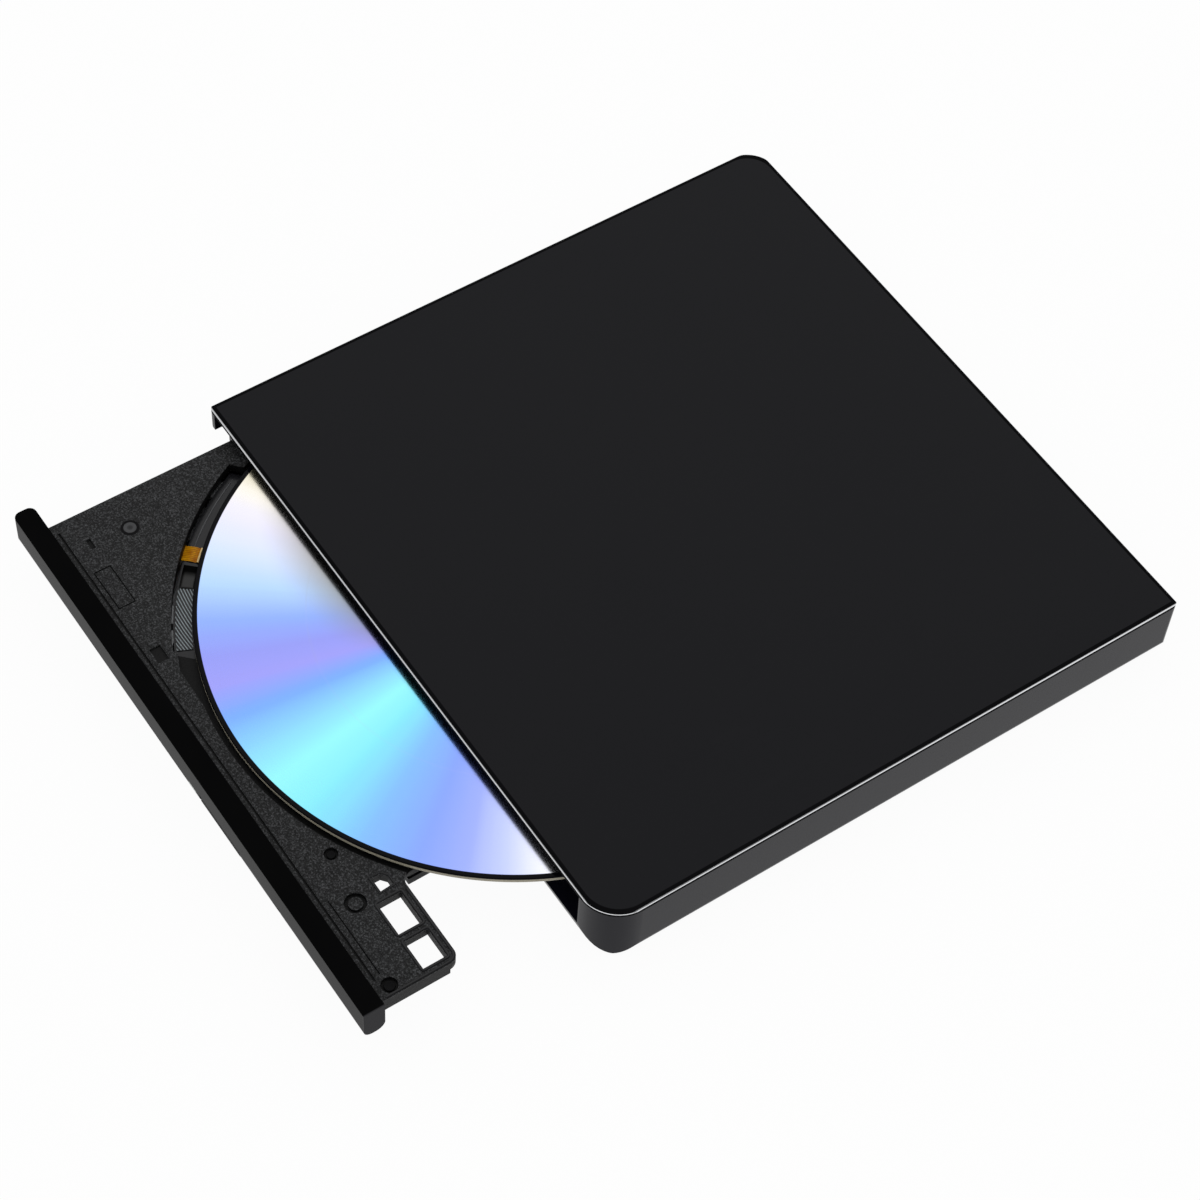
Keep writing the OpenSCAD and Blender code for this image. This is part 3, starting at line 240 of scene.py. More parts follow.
class Finish:
    """A new material: its Principled shader and the surface's own coordinates in millimetres."""

    def __init__(self, name):
        self.material = bpy.data.materials.new(name)
        self.material.use_nodes = True
        self.tree = self.material.node_tree
        self.shader = self.tree.nodes["Principled BSDF"]
        self.output = self.tree.nodes["Material Output"]
        texture = self.tree.nodes.new("ShaderNodeTexCoord")
        metres = Sock(self.tree, texture.outputs["Object"])
        self.at = metres.node("ShaderNodeVectorMath", {"operation": "MULTIPLY"}, {0: metres, 1: [1 / MM] * 3})

    def set(self, **values):
        """Sets the shader's sockets: a number or colour directly, an output as a link."""
        for key, value in values.items():
            self.put(self.shader, key.replace("_", " "), value)
        return self.material

    def put(self, shader, socket, value):
        """Sets one socket of a shader."""
        slot = next(s for s in shader.inputs if s.name.lower() == socket.lower())
        if isinstance(value, Sock):
            self.tree.links.new(value.socket, slot)
        else:
            is_colour = isinstance(value, (tuple, list)) and len(value) == 3
            slot.default_value = (*value, 1.0) if is_colour else value

    def second(self, factor, **values):
        """Mixes another Principled shader in by a factor, over what the surface has so far."""
        other = self.tree.nodes.new("ShaderNodeBsdfPrincipled")
        for key, value in values.items():
            self.put(other, key.replace("_", " "), value)
        surface = self.output.inputs["Surface"]
        ends = {1: Sock(self.tree, surface.links[0].from_socket), 2: Sock(self.tree, other.outputs[0])}
        both = factor.node("ShaderNodeMixShader", {}, {0: factor, **ends})
        self.tree.links.new(both.socket, surface)
        return self.material


def tint(colour, factor):
    """A colour made lighter or darker by a factor."""
    return tuple(min(1.0, c * factor) for c in colour)


# Finishes

def case_gloss(colour):
    """Glossy moulded plastic: faint cloud in colour and gloss, dust and a slight orange-peel skin."""
    f = Finish("case_gloss")
    cloud = f.at.noise(16, 3, 0.55)
    peel = f.at.noise(0.9, 2, 0.5)
    dust = f.at.cells(1.7).step(0.05, 0.02) * f.at.noise(9, 2).step(0.55, 0.72)
    colour_out = dust.mix(cloud.mix(tint(colour, 0.86), tint(colour, 1.16)), tint(colour, 2.0))
    return f.set(Base_Color=colour_out, Roughness=0.15 + cloud * 0.08 + dust * 0.25, Specular_IOR_Level=0.085,
                 Normal=peel.bump(0.006, 0.6))


def cover_inset(at):
    """How far a point of the cover lies inside its outline, in millimetres.

    With q = |p| - half size + r this is r - length(max(q, 0)) - min(max(q), 0), where r is the radius of the
    nearest corner."""
    mid_x, mid_y = ((COVER_LOW + COVER_HIGH)[:2] / 2).tolist()
    half_x, half_y = ((COVER_HIGH - COVER_LOW)[:2] / 2).tolist()
    x, y, _ = at.axes()
    x, y = x - mid_x, y - mid_y
    right, back = x.step(-1, 1), y.step(-1, 1)
    r = SHARP_R + right * (1 - back) * (FRONT_R - SHARP_R) + (1 - right) * back * (BACK_R - SHARP_R)
    qx = x.math("ABSOLUTE", x) + r - half_x
    qy = y.math("ABSOLUTE", y) + r - half_y
    out_x, out_y = qx.math("MAXIMUM", qx, 0.0), qy.math("MAXIMUM", qy, 0.0)
    corner = r.math("SQRT", out_x * out_x + out_y * out_y)
    return r - corner - r.math("MINIMUM", r.math("MAXIMUM", qx, qy), 0.0)


def cover_satin(colour):
    """Satin plastic with a fine even grain; round the edge a painted highlight between two bands of painted
    shade.
    """
    f = Finish("cover_satin")
    z = f.at.axes()[2]
    top = z.step(COVER_TOP - 0.06, COVER_TOP - 0.02) * cover_inset(f.at).step(1.0, 1.12)
    grain = f.at.noise(0.16, 2, 0.6)
    cloud = f.at.noise(34, 3, 0.5)
    rub = f.at.noise(2.2, 3, 0.6, (1, 7, 1)).step(0.62, 0.8) * f.at.noise(40, 2).step(0.5, 0.7)
    shade = cloud.mix(tint(colour, 0.82), tint(colour, 1.2))
    shade = (grain * top * 0.6).mix(shade, tint(colour, 1.7))
    # Painted highlight: a pale metallic band painted round the cover's edge; its light is the world's low band
    # reflected in it.
    line = z.band(COVER_TOP - 0.41, COVER_TOP - 0.13, 0.03) * (0.92 + rub * 0.08)
    f.set(Base_Color=line.mix(shade, (0.91, 0.92, 0.94)), Metallic=line, Specular_IOR_Level=0.125,
          Roughness=0.16 + top * (0.21 + cloud * 0.1 - rub * 0.06), Normal=(grain * top).bump(0.012, 0.55))
    # Painted shade and painted dark reflection: near black matte with almost no gloss on the cover's edge,
    # above the highlight for the edge's dark reflection and below it for the seam's shadow.
    return f.second(1 - top - line, Base_Color=cloud.mix((0.002, 0.002, 0.002), (0.006, 0.006, 0.007)),
                    Roughness=0.35 + grain * 0.2, Specular_IOR_Level=0.01)


def tray_matte(colour):
    """Spark-eroded matte plastic: fine grains with painted glints on their peaks, and smooth marks sunk below
    the face, clear of specks and painted dark as painted shade.
    """
    f = Finish("tray_matte")
    grain = f.at.noise(0.34, 4, 0.78)
    pits = f.at.cells(0.6)
    cloud = f.at.noise(11, 3, 0.55)
    # Painted glints: the grain's peaks are painted much lighter, for the light that the real grains catch.
    light = grain.step(0.50, 0.64)
    # Painted shade: below the face, in pockets and grooves, the colour is painted dark and without specks.
    pocket_shade = 1 - f.at.axes()[2].step(TRAY_FACE - 0.29, TRAY_FACE - 0.265)
    shade = cloud.mix(tint(colour, 0.62), tint(colour, 1.1))
    shade = grain.step(0.36, 0.54).mix(tint(colour, 0.12), shade)
    shade = pocket_shade.mix((light * 0.9).mix(shade, tint(colour, 5.0)), tint(colour, 0.16))
    return f.set(Base_Color=shade, Roughness=0.45 + grain * 0.25,
                 Specular_IOR_Level=0.2, Normal=(grain * 0.7 + pits * 0.3).bump(0.11, 0.9))


def bezel_gloss(colour):
    """Piano-black plastic with a trace of polish lines along its length, and a painted sheen on its end face.
    """
    f = Finish("bezel_gloss")
    lines = f.at.noise(0.35, 2, 0.5, (40, 1, 1))
    cloud = f.at.noise(12, 2, 0.5)
    # Painted sheen: the end face is painted lighter, for the pale floor's reflection on it.
    cut = f.at.axes()[0].step(BEZEL_END - 0.35, BEZEL_END - 0.05)
    shade = cloud.mix(tint(colour, 0.8), tint(colour, 1.6))
    return f.set(Base_Color=cut.mix(shade, tint(colour, 22)), Roughness=0.10 + lines * 0.05,
                 Specular_IOR_Level=0.011, Normal=lines.bump(0.002, 0.5))


def plain_plastic(name, colour, rough=0.45, grain_size=0.2, level=0.35):
    """Moulded plastic with a fine grain, cloudy colour and slight flow marks."""
    f = Finish(name)
    grain = f.at.noise(grain_size, 2, 0.6)
    flow = f.at.noise(3, 3, 0.6, (1, 4, 1))
    shade = flow.mix(tint(colour, 0.85), tint(colour, 1.12))
    return f.set(Base_Color=(grain.step(0.6, 0.8) * 0.4).mix(shade, tint(colour, 1.5)),
                 Roughness=rough - 0.06 + flow * 0.12, Specular_IOR_Level=level,
                 Normal=grain.bump(0.012, 0.5))


def stud_plastic():
    """Smooth plastic of pins and lugs, painted by height: painted shade, near black, in grooves and pockets,
    and a painted highlight, grey, where it stands proud.
    """
    f = Finish("stud_plastic")
    grain = f.at.noise(0.2, 2, 0.6)
    # Painted light by height: grey above the tray's face for the highlights on lugs and domes, near black
    # below it for the shade in grooves and pockets.
    proud = f.at.axes()[2].step(TRAY_FACE + 0.02, TRAY_FACE + 0.09)
    f.set(Base_Color=grain.mix((0.030, 0.031, 0.033), (0.055, 0.056, 0.059)), Roughness=0.30 + grain * 0.12,
          Specular_IOR_Level=0.3, Normal=grain.bump(0.012, 0.5))
    return f.second(1 - proud, Base_Color=grain.mix((0.003, 0.003, 0.003), (0.010, 0.010, 0.011)),
                    Roughness=0.5 + grain * 0.2, Specular_IOR_Level=0.05)


def pad_plastic():
    """Smooth grey plastic that runs into painted shadow, near black, at the end beside the cable."""
    f = Finish("pad_plastic")
    x, y, _ = f.at.axes()
    turn = x.math("ARCTAN2", y - float(DISC_Y), x - float(DISC_X)) * (180 / math.pi) + 360
    flow = f.at.noise(1.6, 3, 0.6)
    f.set(Base_Color=flow.mix((0.011, 0.011, 0.011), (0.017, 0.017, 0.016)), Roughness=0.18 + flow * 0.08,
          Specular_IOR_Level=0.3)
    # Painted shadow: near black matte with almost no gloss at the pad's start, beside the cable.
    cable_shadow = 1 - turn.step(PAD_TURN[0] + 1.2, PAD_TURN[0] + 3.0)
    return f.second(cable_shadow, Base_Color=flow.mix((0.001, 0.001, 0.001), (0.003, 0.003, 0.003)),
                    Roughness=0.5 + flow * 0.1, Specular_IOR_Level=0.01)


def foot_rubber(colour=(0.012, 0.012, 0.012)):
    """Soft rubber: matte, dusty, with a fine pebble."""
    f = Finish("foot_rubber")
    pebble = f.at.cells(0.35)
    dust = f.at.noise(2.5, 3, 0.6)
    return f.set(Base_Color=dust.mix(tint(colour, 0.8), tint(colour, 2.2)), Roughness=0.75 + pebble * 0.2,
                 Specular_IOR_Level=0.25, Normal=pebble.bump(0.03, 0.5))


def sheet_steel():
    """Zinc-plated sheet: spangle cells and rolling lines."""
    f = Finish("sheet_steel")
    cells = f.at.cells(5, out="Color")
    spangle = cells.node("ShaderNodeRGBToBW", {}, {0: cells})
    roll = f.at.noise(0.25, 3, 0.6, (1, 30, 1))
    shade = (spangle * 0.5 + roll * 0.5).mix((0.44, 0.45, 0.47), (0.72, 0.73, 0.75))
    return f.set(Base_Color=shade, Metallic=1.0, Roughness=0.26 + spangle * 0.16, Normal=roll.bump(0.004, 0.4))


def turned_steel(name, colour, rough, pitch):
    """Ground or plated steel with fine tool marks."""
    f = Finish(name)
    mark = f.at.noise(pitch, 3, 0.6, (1, 1, 12))
    spot = f.at.noise(1.2, 3, 0.6)
    return f.set(Base_Color=spot.mix(tint(colour, 0.8), tint(colour, 1.1)), Metallic=1.0,
                 Roughness=rough + mark * 0.12, Normal=mark.bump(0.004, 0.4))


def frame_metal():
    """Pressed alloy with a grainy, dull skin."""
    f = Finish("frame_metal")
    grain = f.at.noise(0.18, 3, 0.65)
    stain = f.at.noise(6, 3, 0.6)
    return f.set(Base_Color=stain.mix((0.26, 0.27, 0.28), (0.42, 0.43, 0.44)), Metallic=1.0,
                 Roughness=0.42 + grain * 0.2, Normal=grain.bump(0.012, 0.5))


def board_green():
    """Board with lacquer over copper lines that run in two directions, pads and a weave below."""
    f = Finish("board_green")
    x, y, _ = f.at.axes()
    zone = f.at.noise(7, 1, 0.5).step(0.48, 0.52)
    lines_x = x.wave(1.1).step(0.62, 0.72)
    lines_y = y.wave(1.3).step(0.62, 0.72)
    trace = lines_x * zone + lines_y * (1 - zone)
    pad = 1 - f.at.cells(2.6).step(0.16, 0.18)
    weave = x.wave(0.45) * y.wave(0.45)
    lacquer = (trace * 0.8 + weave * 0.12).mix((0.006, 0.040, 0.018), (0.016, 0.095, 0.040))
    return f.set(Base_Color=pad.mix(lacquer, (0.55, 0.50, 0.36)), Metallic=pad * 0.9,
                 Roughness=0.24 + pad * 0.1 + weave * 0.06, Normal=(trace * 0.6 + pad * 0.4).bump(0.03, 0.6))


def flex_orange(angle, fold):
    """Amber film over thin copper lines that run along the cable, with a painted highlight above its fold's
    height.
    """
    f = Finish("flex_orange")
    x, y, z = f.at.axes()
    across = x * -math.sin(angle) + y * math.cos(angle)
    line = across.wave(0.42).step(0.35, 0.6)
    age = f.at.noise(2.4, 3, 0.55)
    film = age.step(0.3, 0.7).mix((0.42, 0.13, 0.001), (0.86, 0.42, 0.004))
    film = (line * 0.6).mix(film, (0.34, 0.10, 0.002))
    # Painted highlight: the film is pale above the fold's height, where its crest catches the light.
    film = z.step(fold, fold + 0.1).mix(film, (0.95, 0.72, 0.36))
    return f.set(Base_Color=film, Roughness=0.26 + age * 0.1, Specular_IOR_Level=0.1,
                 Normal=line.bump(0.02, 0.6))


def coil_copper():
    """Enamelled wire wound across the coil."""
    f = Finish("coil_copper")
    x, _, z = f.at.axes()
    turn = (x + z * 0.12).wave(0.28)
    burn = f.at.noise(1.5, 3, 0.6)
    return f.set(Base_Color=burn.mix((0.30, 0.105, 0.030), (0.60, 0.26, 0.10)), Metallic=0.85,
                 Roughness=0.26 + turn * 0.15, Normal=turn.bump(0.06, 0.8))


def lens_clear():
    """Coated lens: a deep blue sheen over dark glass."""
    f = Finish("lens_clear")
    sheen = f.at.noise(1.4, 2, 0.5)
    return f.set(Base_Color=sheen.mix((0.05, 0.09, 0.22), (0.16, 0.14, 0.36)), Roughness=0.03 + sheen * 0.03,
                 Specular_IOR_Level=0.8, Coat_Weight=1.0, Coat_Roughness=0.02)


def strip_silver(low, high):
    """Ribbed foil: bare metal on the crests, painted shade, near black, between them, and a faint crinkle."""
    f = Finish("strip_silver")
    crinkle = f.at.noise(0.6, 3, 0.6)
    # Painted shade: below the crests the colour runs to near black in the grooves.
    crest = f.at.axes()[2].step(low, high) * (0.55 + crinkle * 0.6)
    return f.set(Base_Color=crest.mix((0.012, 0.013, 0.015), (0.44, 0.50, 0.53)), Metallic=crest * 0.3,
                 Roughness=0.30 + crinkle * 0.2, Normal=crinkle.bump(0.02, 0.4))


# Colour fan of the disc's mirror, a painted reflection: the rainbow of the grooves fixed as colour, with the
# angle
# # round the disc in degrees and colour. The darker tan stops at 196 and 205 degrees also hold painted shade
# of the cover.
FAN = [
    (0, (0.90, 0.90, 0.97)), (18, (0.42, 0.62, 1.00)), (34, (0.22, 0.86, 1.00)), (48, (0.27, 0.46, 0.98)),
    (66, (0.55, 0.45, 0.96)), (84, (0.82, 0.80, 1.00)), (104, (1.00, 0.97, 0.90)), (124, (0.86, 0.94, 1.00)),
    (142, (0.38, 0.58, 0.98)), (158, (0.55, 0.88, 0.86)), (176, (0.93, 0.95, 0.80)),
    (196, (0.62, 0.56, 0.34)), (205, (0.68, 0.62, 0.40)), (210, (0.90, 0.86, 0.78)),
    (217, (0.78, 0.77, 0.93)), (225, (0.63, 0.73, 0.97)), (233, (0.44, 0.64, 1.00)),
    (242, (0.26, 0.40, 0.92)), (250, (0.28, 0.31, 0.84)), (257, (0.32, 0.32, 0.86)),
    (264, (0.18, 0.38, 0.98)), (272, (0.24, 0.62, 0.98)), (280, (0.28, 0.86, 0.96)),
    (289, (0.22, 0.76, 0.98)), (300, (0.21, 0.47, 0.95)), (311, (0.23, 0.35, 0.92)),
    (319, (0.32, 0.40, 0.93)), (327, (0.56, 0.62, 0.96)), (335, (0.98, 0.98, 1.00)),
    (348, (1.00, 0.98, 0.95)), (360, (0.90, 0.90, 0.97)),
]


def disc_mirror(clear_ring, hub_clear):
    """Mirror under clear plastic: the rainbow fan of colours by angle as painted reflection, painted shade of
    the cover as a tan part that winds in from the edge, groove rings by radius, a dark ring round the mirror
    with a painted highlight on its outer wall, and a clear hub."""
    f = Finish("disc_mirror")
    mirror_r, stack_r, burnt_r, soft = 23.4, 22.3, 38.7, 0.05
    centred = f.at.node("ShaderNodeVectorMath", {"operation": "SUBTRACT"}, {0: f.at, 1: (DISC_X, DISC_Y, 0)})
    x, y, z = centred.axes()
    radius = x.math("SQRT", x * x + y * y)
    turn = x.math("ARCTAN2", y, x) / (2 * math.pi)
    turn = turn.math("FRACT", turn + 1.0)
    streak = turn.node("ShaderNodeTexNoise", {"noise_dimensions": "1D"},
                       {"W": turn * 90, "Scale": 1.0, "Detail": 3.0})
    fan_place = turn + (radius - 45) * 0.00006 + (streak - 0.5) * 0.004
    # Painted reflection: the fan's colours by angle tint the mirror's real reflection.
    fan = turn.node("ShaderNodeValToRGB", {"stops": [(a / 360, c) for a, c in FAN]}, {0: fan_place})
    rings = radius.node("ShaderNodeTexNoise", {"noise_dimensions": "1D"},
                        {"W": radius * 3.0, "Scale": 1.0, "Detail": 4.0})
    colour = radius.step(mirror_r - 0.2, mirror_r + 0.2).mix((0.80, 0.82, 0.84), fan)
    colour = radius.band(stack_r - 0.2, stack_r + 0.2, 0.08).mix(colour, (0.35, 0.36, 0.38))
    burn = radius.band(burnt_r - 0.1, burnt_r + 0.1, 0.06) * 0.12
    colour = burn.mix(colour, (0.40, 0.42, 0.50))
    # Painted shade of the cover: a dark tan part that winds in from the edge beside the cover's mouth, fixed
    # to the disc.
    spiral = radius + (turn * 360 - 205) * 0.50
    cover_shade = (1 - spiral.step(43.5, 58.5)) * turn.band(0.555, 0.735, 0.05)
    colour = (cover_shade * 0.82).mix(colour, (0.28, 0.255, 0.18))
    f.set(Base_Color=colour, Metallic=1.0, Roughness=0.16 + rings * 0.06 + streak * 0.05, Coat_Weight=0.5,
          Coat_Roughness=0.03, Anisotropic=0.4)
    mirror_end, hub_end = DISC_R - clear_ring / MM, hub_clear / MM
    edge = radius.step(mirror_end - soft, mirror_end + soft)
    hub = 1 - radius.step(hub_end - soft, hub_end + soft)
    f.second(hub, Base_Color=(0.93, 0.95, 0.95), Roughness=0.03 + rings * 0.04, Transmission_Weight=1.0,
             IOR=1.5)
    # Painted highlight: the lower part of the rim's outer wall is pale tan, the bright thin line at the disc's
    # edge.
    rim_highlight = radius.step(DISC_R - 0.2, DISC_R - 0.12) * (1 - z.step(DISC_Z1 - 0.34, DISC_Z1 - 0.20))
    return f.second(edge, Base_Color=rim_highlight.mix((0.002, 0.002, 0.003), (0.40, 0.37, 0.29)),
                    Roughness=0.12 + rings * 0.05, Specular_IOR_Level=0.06)


def led_glass():
    """Milky light pipe of the status light, unlit."""
    f = Finish("led_glass")
    haze = f.at.noise(0.7, 2, 0.5)
    return f.set(Base_Color=haze.mix((0.30, 0.34, 0.32), (0.48, 0.52, 0.49)), Roughness=0.18 + haze * 0.08,
                 Specular_IOR_Level=0.5)


# Meshes from arrays of points

def piece(name, body, slot, finish, *grids):
    """One mesh from grids of points, each rows x columns x 3 in millimetres with its closed directions.

    Quads join each point to its neighbours; a closed direction joins its last row or column to the first.
    Points that fall together, as at a pole, are merged, and the faces are turned outwards."""
    points, faces, base = [], [], 0
    for grid, loop_rows, loop_cols in grids:
        rows, cols = grid.shape[:2]
        index = base + np.arange(rows * cols).reshape(rows, cols)
        right = np.roll(index, -1, axis=1)
        down = np.roll(index, -1, axis=0)
        diag = np.roll(right, -1, axis=0)
        quads = np.stack([index, down, diag, right], axis=-1)
        quads = quads[: rows if loop_rows else rows - 1, : cols if loop_cols else cols - 1]
        points.append(grid.reshape(-1, 3) * MM)
        faces.append(quads.reshape(-1, 4))
        base += rows * cols
    mesh = bpy.data.meshes.new(name)
    mesh.from_pydata(np.concatenate(points), [], np.concatenate(faces))
    obj = bpy.data.objects.new(name, mesh)
    bpy.context.scene.collection.objects.link(obj)
    tidy_mesh(mesh)
    mesh.materials.append(finish)
    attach(obj, body)
    return obj


def tidy_mesh(mesh):
    """Merges points that fall together, turns the faces outwards and shades all but sharp edges smooth."""
    work = bmesh.new()
    work.from_mesh(mesh)
    bmesh.ops.remove_doubles(work, verts=work.verts, dist=1e-7)
    bmesh.ops.dissolve_degenerate(work, edges=work.edges, dist=1e-8)
    bmesh.ops.recalc_face_normals(work, faces=work.faces)
    work.to_mesh(mesh)
    work.free()
    mesh.polygons.foreach_set("use_smooth", np.ones(len(mesh.polygons), bool))
    mesh.set_sharp_from_angle(angle=math.radians(32))


def round_angles(steps):
    """Angles once round a section, in radians, without the last one that repeats the first."""
    return np.radians(np.linspace(0, 360, steps, endpoint=False))


def about_disc(radius, angle, height):
    """Points at a radius and an angle about the disc's centre: (x + r cos a, y + r sin a, z)."""
    x, y = DISC_X + radius * np.cos(angle), DISC_Y + radius * np.sin(angle)
    return np.stack(np.broadcast_arrays(x, y, height), axis=-1)


def turned(profile, centre, segments):
    """Points of a profile of (radius, height) rows turned about an upright axis: (r cos a, r sin a, z)."""
    profile = np.asarray(profile, float)
    angle = np.linspace(0, 2 * np.pi, segments, endpoint=False)
    ring = np.stack([np.cos(angle), np.sin(angle)], axis=-1)
    plan = profile[:, None, :1] * ring[None] + np.asarray(centre, float)
    height = np.broadcast_to(profile[:, None, 1:], (*plan.shape[:2], 1))
    return np.concatenate([plan, height], axis=-1)


def capped(grid):
    """A tube of points with both ends drawn in to their middles, which closes it."""
    ends = [np.broadcast_to(row.mean(axis=0), row.shape)[None] for row in (grid[0], grid[-1])]
    return np.concatenate([ends[0], grid, ends[1]])


def arc(centre, radius, start, stop, steps):
    """Points of an arc from start to stop, in degrees: centre + r (cos a, sin a)."""
    angle = np.radians(np.linspace(start, stop, steps))
    return np.asarray(centre) + radius * np.stack([np.cos(angle), np.sin(angle)], axis=-1)


def carried(path, half, height, base, closed):
    """Points of an oval section carried along a path in plan: path + n w cos a across, base + h sin a up,
    where n is the path's normal."""
    path = np.asarray(path, float)
    ahead = np.roll(path, -1, axis=0) - np.roll(path, 1, axis=0) if closed else np.gradient(path, axis=0)
    normal = np.stack([-ahead[:, 1], ahead[:, 0]], axis=-1) / np.linalg.norm(ahead, axis=1, keepdims=True)
    side = round_angles(14)
    plan = path[:, None] + normal[:, None] * half * np.cos(side)[None, :, None]
    up = np.broadcast_to(base + height * np.sin(side), plan.shape[:2])
    return np.concatenate([plan, up[..., None]], axis=-1)


def frame_path(x0, x1, y0, y1, r):
    """Outline of a rectangle with round corners, as four arcs."""
    return np.concatenate([arc((x1 - r, y1 - r), r, 90, 0, 6), arc((x1 - r, y0 + r), r, 0, -90, 6),
                           arc((x0 + r, y0 + r), r, -90, -180, 6), arc((x0 + r, y1 - r), r, 180, 90, 6)])


def show(names, finish):
    """Gives CAD nodes a finish in place of the plain one that they come with."""
    for name in names:
        NODES[name].data.materials.clear()
        NODES[name].data.materials.append(finish)


def soften(name, width, segments=2, angle=40):
    """Rounds the sharp edges of a CAD node by a small width."""
    weld = NODES[name].modifiers.new("weld", "WELD")
    weld.merge_threshold = 1e-6
    bevel = NODES[name].modifiers.new("round", "BEVEL")
    bevel.width = width
    bevel.segments = segments
    bevel.limit_method = "ANGLE"
    bevel.angle_limit = math.radians(angle)
    bevel.harden_normals = True
    bevel.use_clamp_overlap = True


# Operators

class StageOperator(bpy.types.Operator):
    """Makes the floor, the light and the camera"""

    bl_idname = "drive.stage"
    bl_label = "Stage"

    def execute(self, context):
        look = context.scene.drive_stage
        half = look.floor_size / 2
        corners = [(-half, -half, 0), (half, -half, 0), (half, half, 0), (-half, half, 0)]
        mesh = bpy.data.meshes.new("floor")
        mesh.from_pydata(corners, [], [(0, 1, 2, 3)])
        floor = bpy.data.objects.new("floor", mesh)
        context.scene.collection.objects.link(floor)
        mesh.materials.append(self.paper())
        self.world(context, look)
        self.lamp(context, look)
        self.camera(context, look)
        context.scene.view_settings.view_transform = "Standard"
        return {"FINISHED"}

    def paper(self):
        """Pale paper that keeps a faint shadow: nearly even white to the camera and to reflections, plain
        diffuse to the rest."""
        f = Finish("paper")
        fibre = f.at.noise(6, 3, 0.6)
        f.set(Base_Color=fibre.mix((0.90, 0.90, 0.90), (0.93, 0.93, 0.93)), Roughness=0.9,
              Specular_IOR_Level=0.0)
        path = f.tree.nodes.new("ShaderNodeLightPath")
        camera, glossy, through = (Sock(f.tree, path.outputs[key]) for key in
                                   ("Is Camera Ray", "Is Glossy Ray", "Is Transmission Ray"))
        seen = camera.math("MINIMUM", camera + glossy + through, 1.0)
        return f.second(seen * 0.95, Base_Color=(0, 0, 0), Specular_IOR_Level=0.0, Emission_Color=(1, 1, 1),
                        Emission_Strength=1.0)

    def world(self, context, look):
        """Even light from all round; plain white to the camera. Glossy surfaces see a dim room with one bright
        patch and a low bright band at the front and right, which draws the lines along the edges."""
        patch, band = (-0.56, 0.40, 0.725), (0.80, -0.60, 0.0)
        world = bpy.data.worlds.new("even_light")
        context.scene.world = world
        world.use_nodes = True
        tree = world.node_tree
        back = tree.nodes["Background"]
        path = tree.nodes.new("ShaderNodeLightPath")
        seen, glossy = (Sock(tree, path.outputs[key]) for key in ("Is Camera Ray", "Is Glossy Ray"))
        way = Sock(tree, tree.nodes.new("ShaderNodeTexCoord").outputs["Generated"])
        facing, side = (way.node("ShaderNodeVectorMath", {"operation": "DOT_PRODUCT"}, {0: way, 1: aim},
                                 out="Value") for aim in (patch, band))
        low = way.axes()[2].band(-0.04, 0.5, 0.05) * side.step(-0.6, 0.6)
        mirrored = 0.20 + facing.step(0.5, 0.96) * 0.71 + low * look.edge_light
        even = look.world_light
        back.inputs["Color"].default_value = (1, 1, 1, 1)
        strength = even + seen * (1 - even) + glossy * (mirrored - even)
        tree.links.new(strength.socket, back.inputs["Strength"])

    def lamp(self, context, look):
        """Soft square lamp behind and above, turned to the object and unseen by the camera."""
        data = bpy.data.lights.new("key_box", "AREA")
        data.shape = "RECTANGLE"
        data.size = data.size_y = 1.2
        data.energy = look.key_power
        lamp = bpy.data.objects.new("key_box", data)
        context.scene.collection.objects.link(lamp)
        lamp.location = (-0.75, 0.64, 1.33)
        lamp.rotation_euler = (-lamp.location).to_track_quat("-Z", "Y").to_euler()
        lamp.visible_camera = False

    def camera(self, context, look):
        """Camera at the photograph's place in metres: its axes are picture right, picture down and forward."""
        right = (0.559446, 0.827502, 0.047545)
        down = (0.691995, -0.43472, -0.576334)
        ahead = (-0.456249, 0.355329, -0.81583)
        place = (0.286278, -0.242352, 0.508887)
        data = bpy.data.cameras.new("camera")
        data.sensor_fit = "HORIZONTAL"
        data.angle = look.field
        data.clip_start = 0.01
        data.clip_end = 50
        camera = bpy.data.objects.new("camera", data)
        context.scene.collection.objects.link(camera)
        rows = [[right[i], -down[i], -ahead[i], place[i]] for i in range(3)]
        camera.matrix_world = Matrix([*rows, [0, 0, 0, 1]])
        context.scene.camera = camera


class CaseOperator(bpy.types.Operator):
    """Finishes the case, its cover, screws and feet"""

    bl_idname = "drive.case"
    bl_label = "Case, cover and feet"

    def execute(self, context):
        look = context.scene.drive_case
        show(["bottom_case"], case_gloss(look.case_colour))
        show(["top_cover"], cover_satin(look.cover_colour))
        show(["case_screws"], turned_steel("screw_dark", (0.16, 0.16, 0.17), 0.35, 0.08))
        soften("case_screws", 0.00008)
        feet = self.feet()
        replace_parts(feet, "rubber_feet")
        return {"FINISHED"}

    def feet(self):
        """Round pads with a rolled edge and a ring groove, turned about their own axes."""
        low, high = node_box("rubber_feet")
        foot_r, roll, cut, groove = 4.5, 0.45, 0.1, 0.14
        top = high[2]
        edge = arc((foot_r - roll, roll), roll, 0, -90, 6)
        profile = [(0, top), (foot_r - cut, top), (foot_r, top - cut), *edge, (3.0, 0), (2.8, groove),
                   (2.3, groove), (2.1, 0), (0, 0)]
        grids = [(turned(profile, (x, y), 48), False, True) for x in (low[0] + foot_r, high[0] - foot_r)
                 for y in (low[1] + foot_r, high[1] - foot_r)]
        return piece("foot_pads", "case", "foot_rubber", foot_rubber(), *grids)


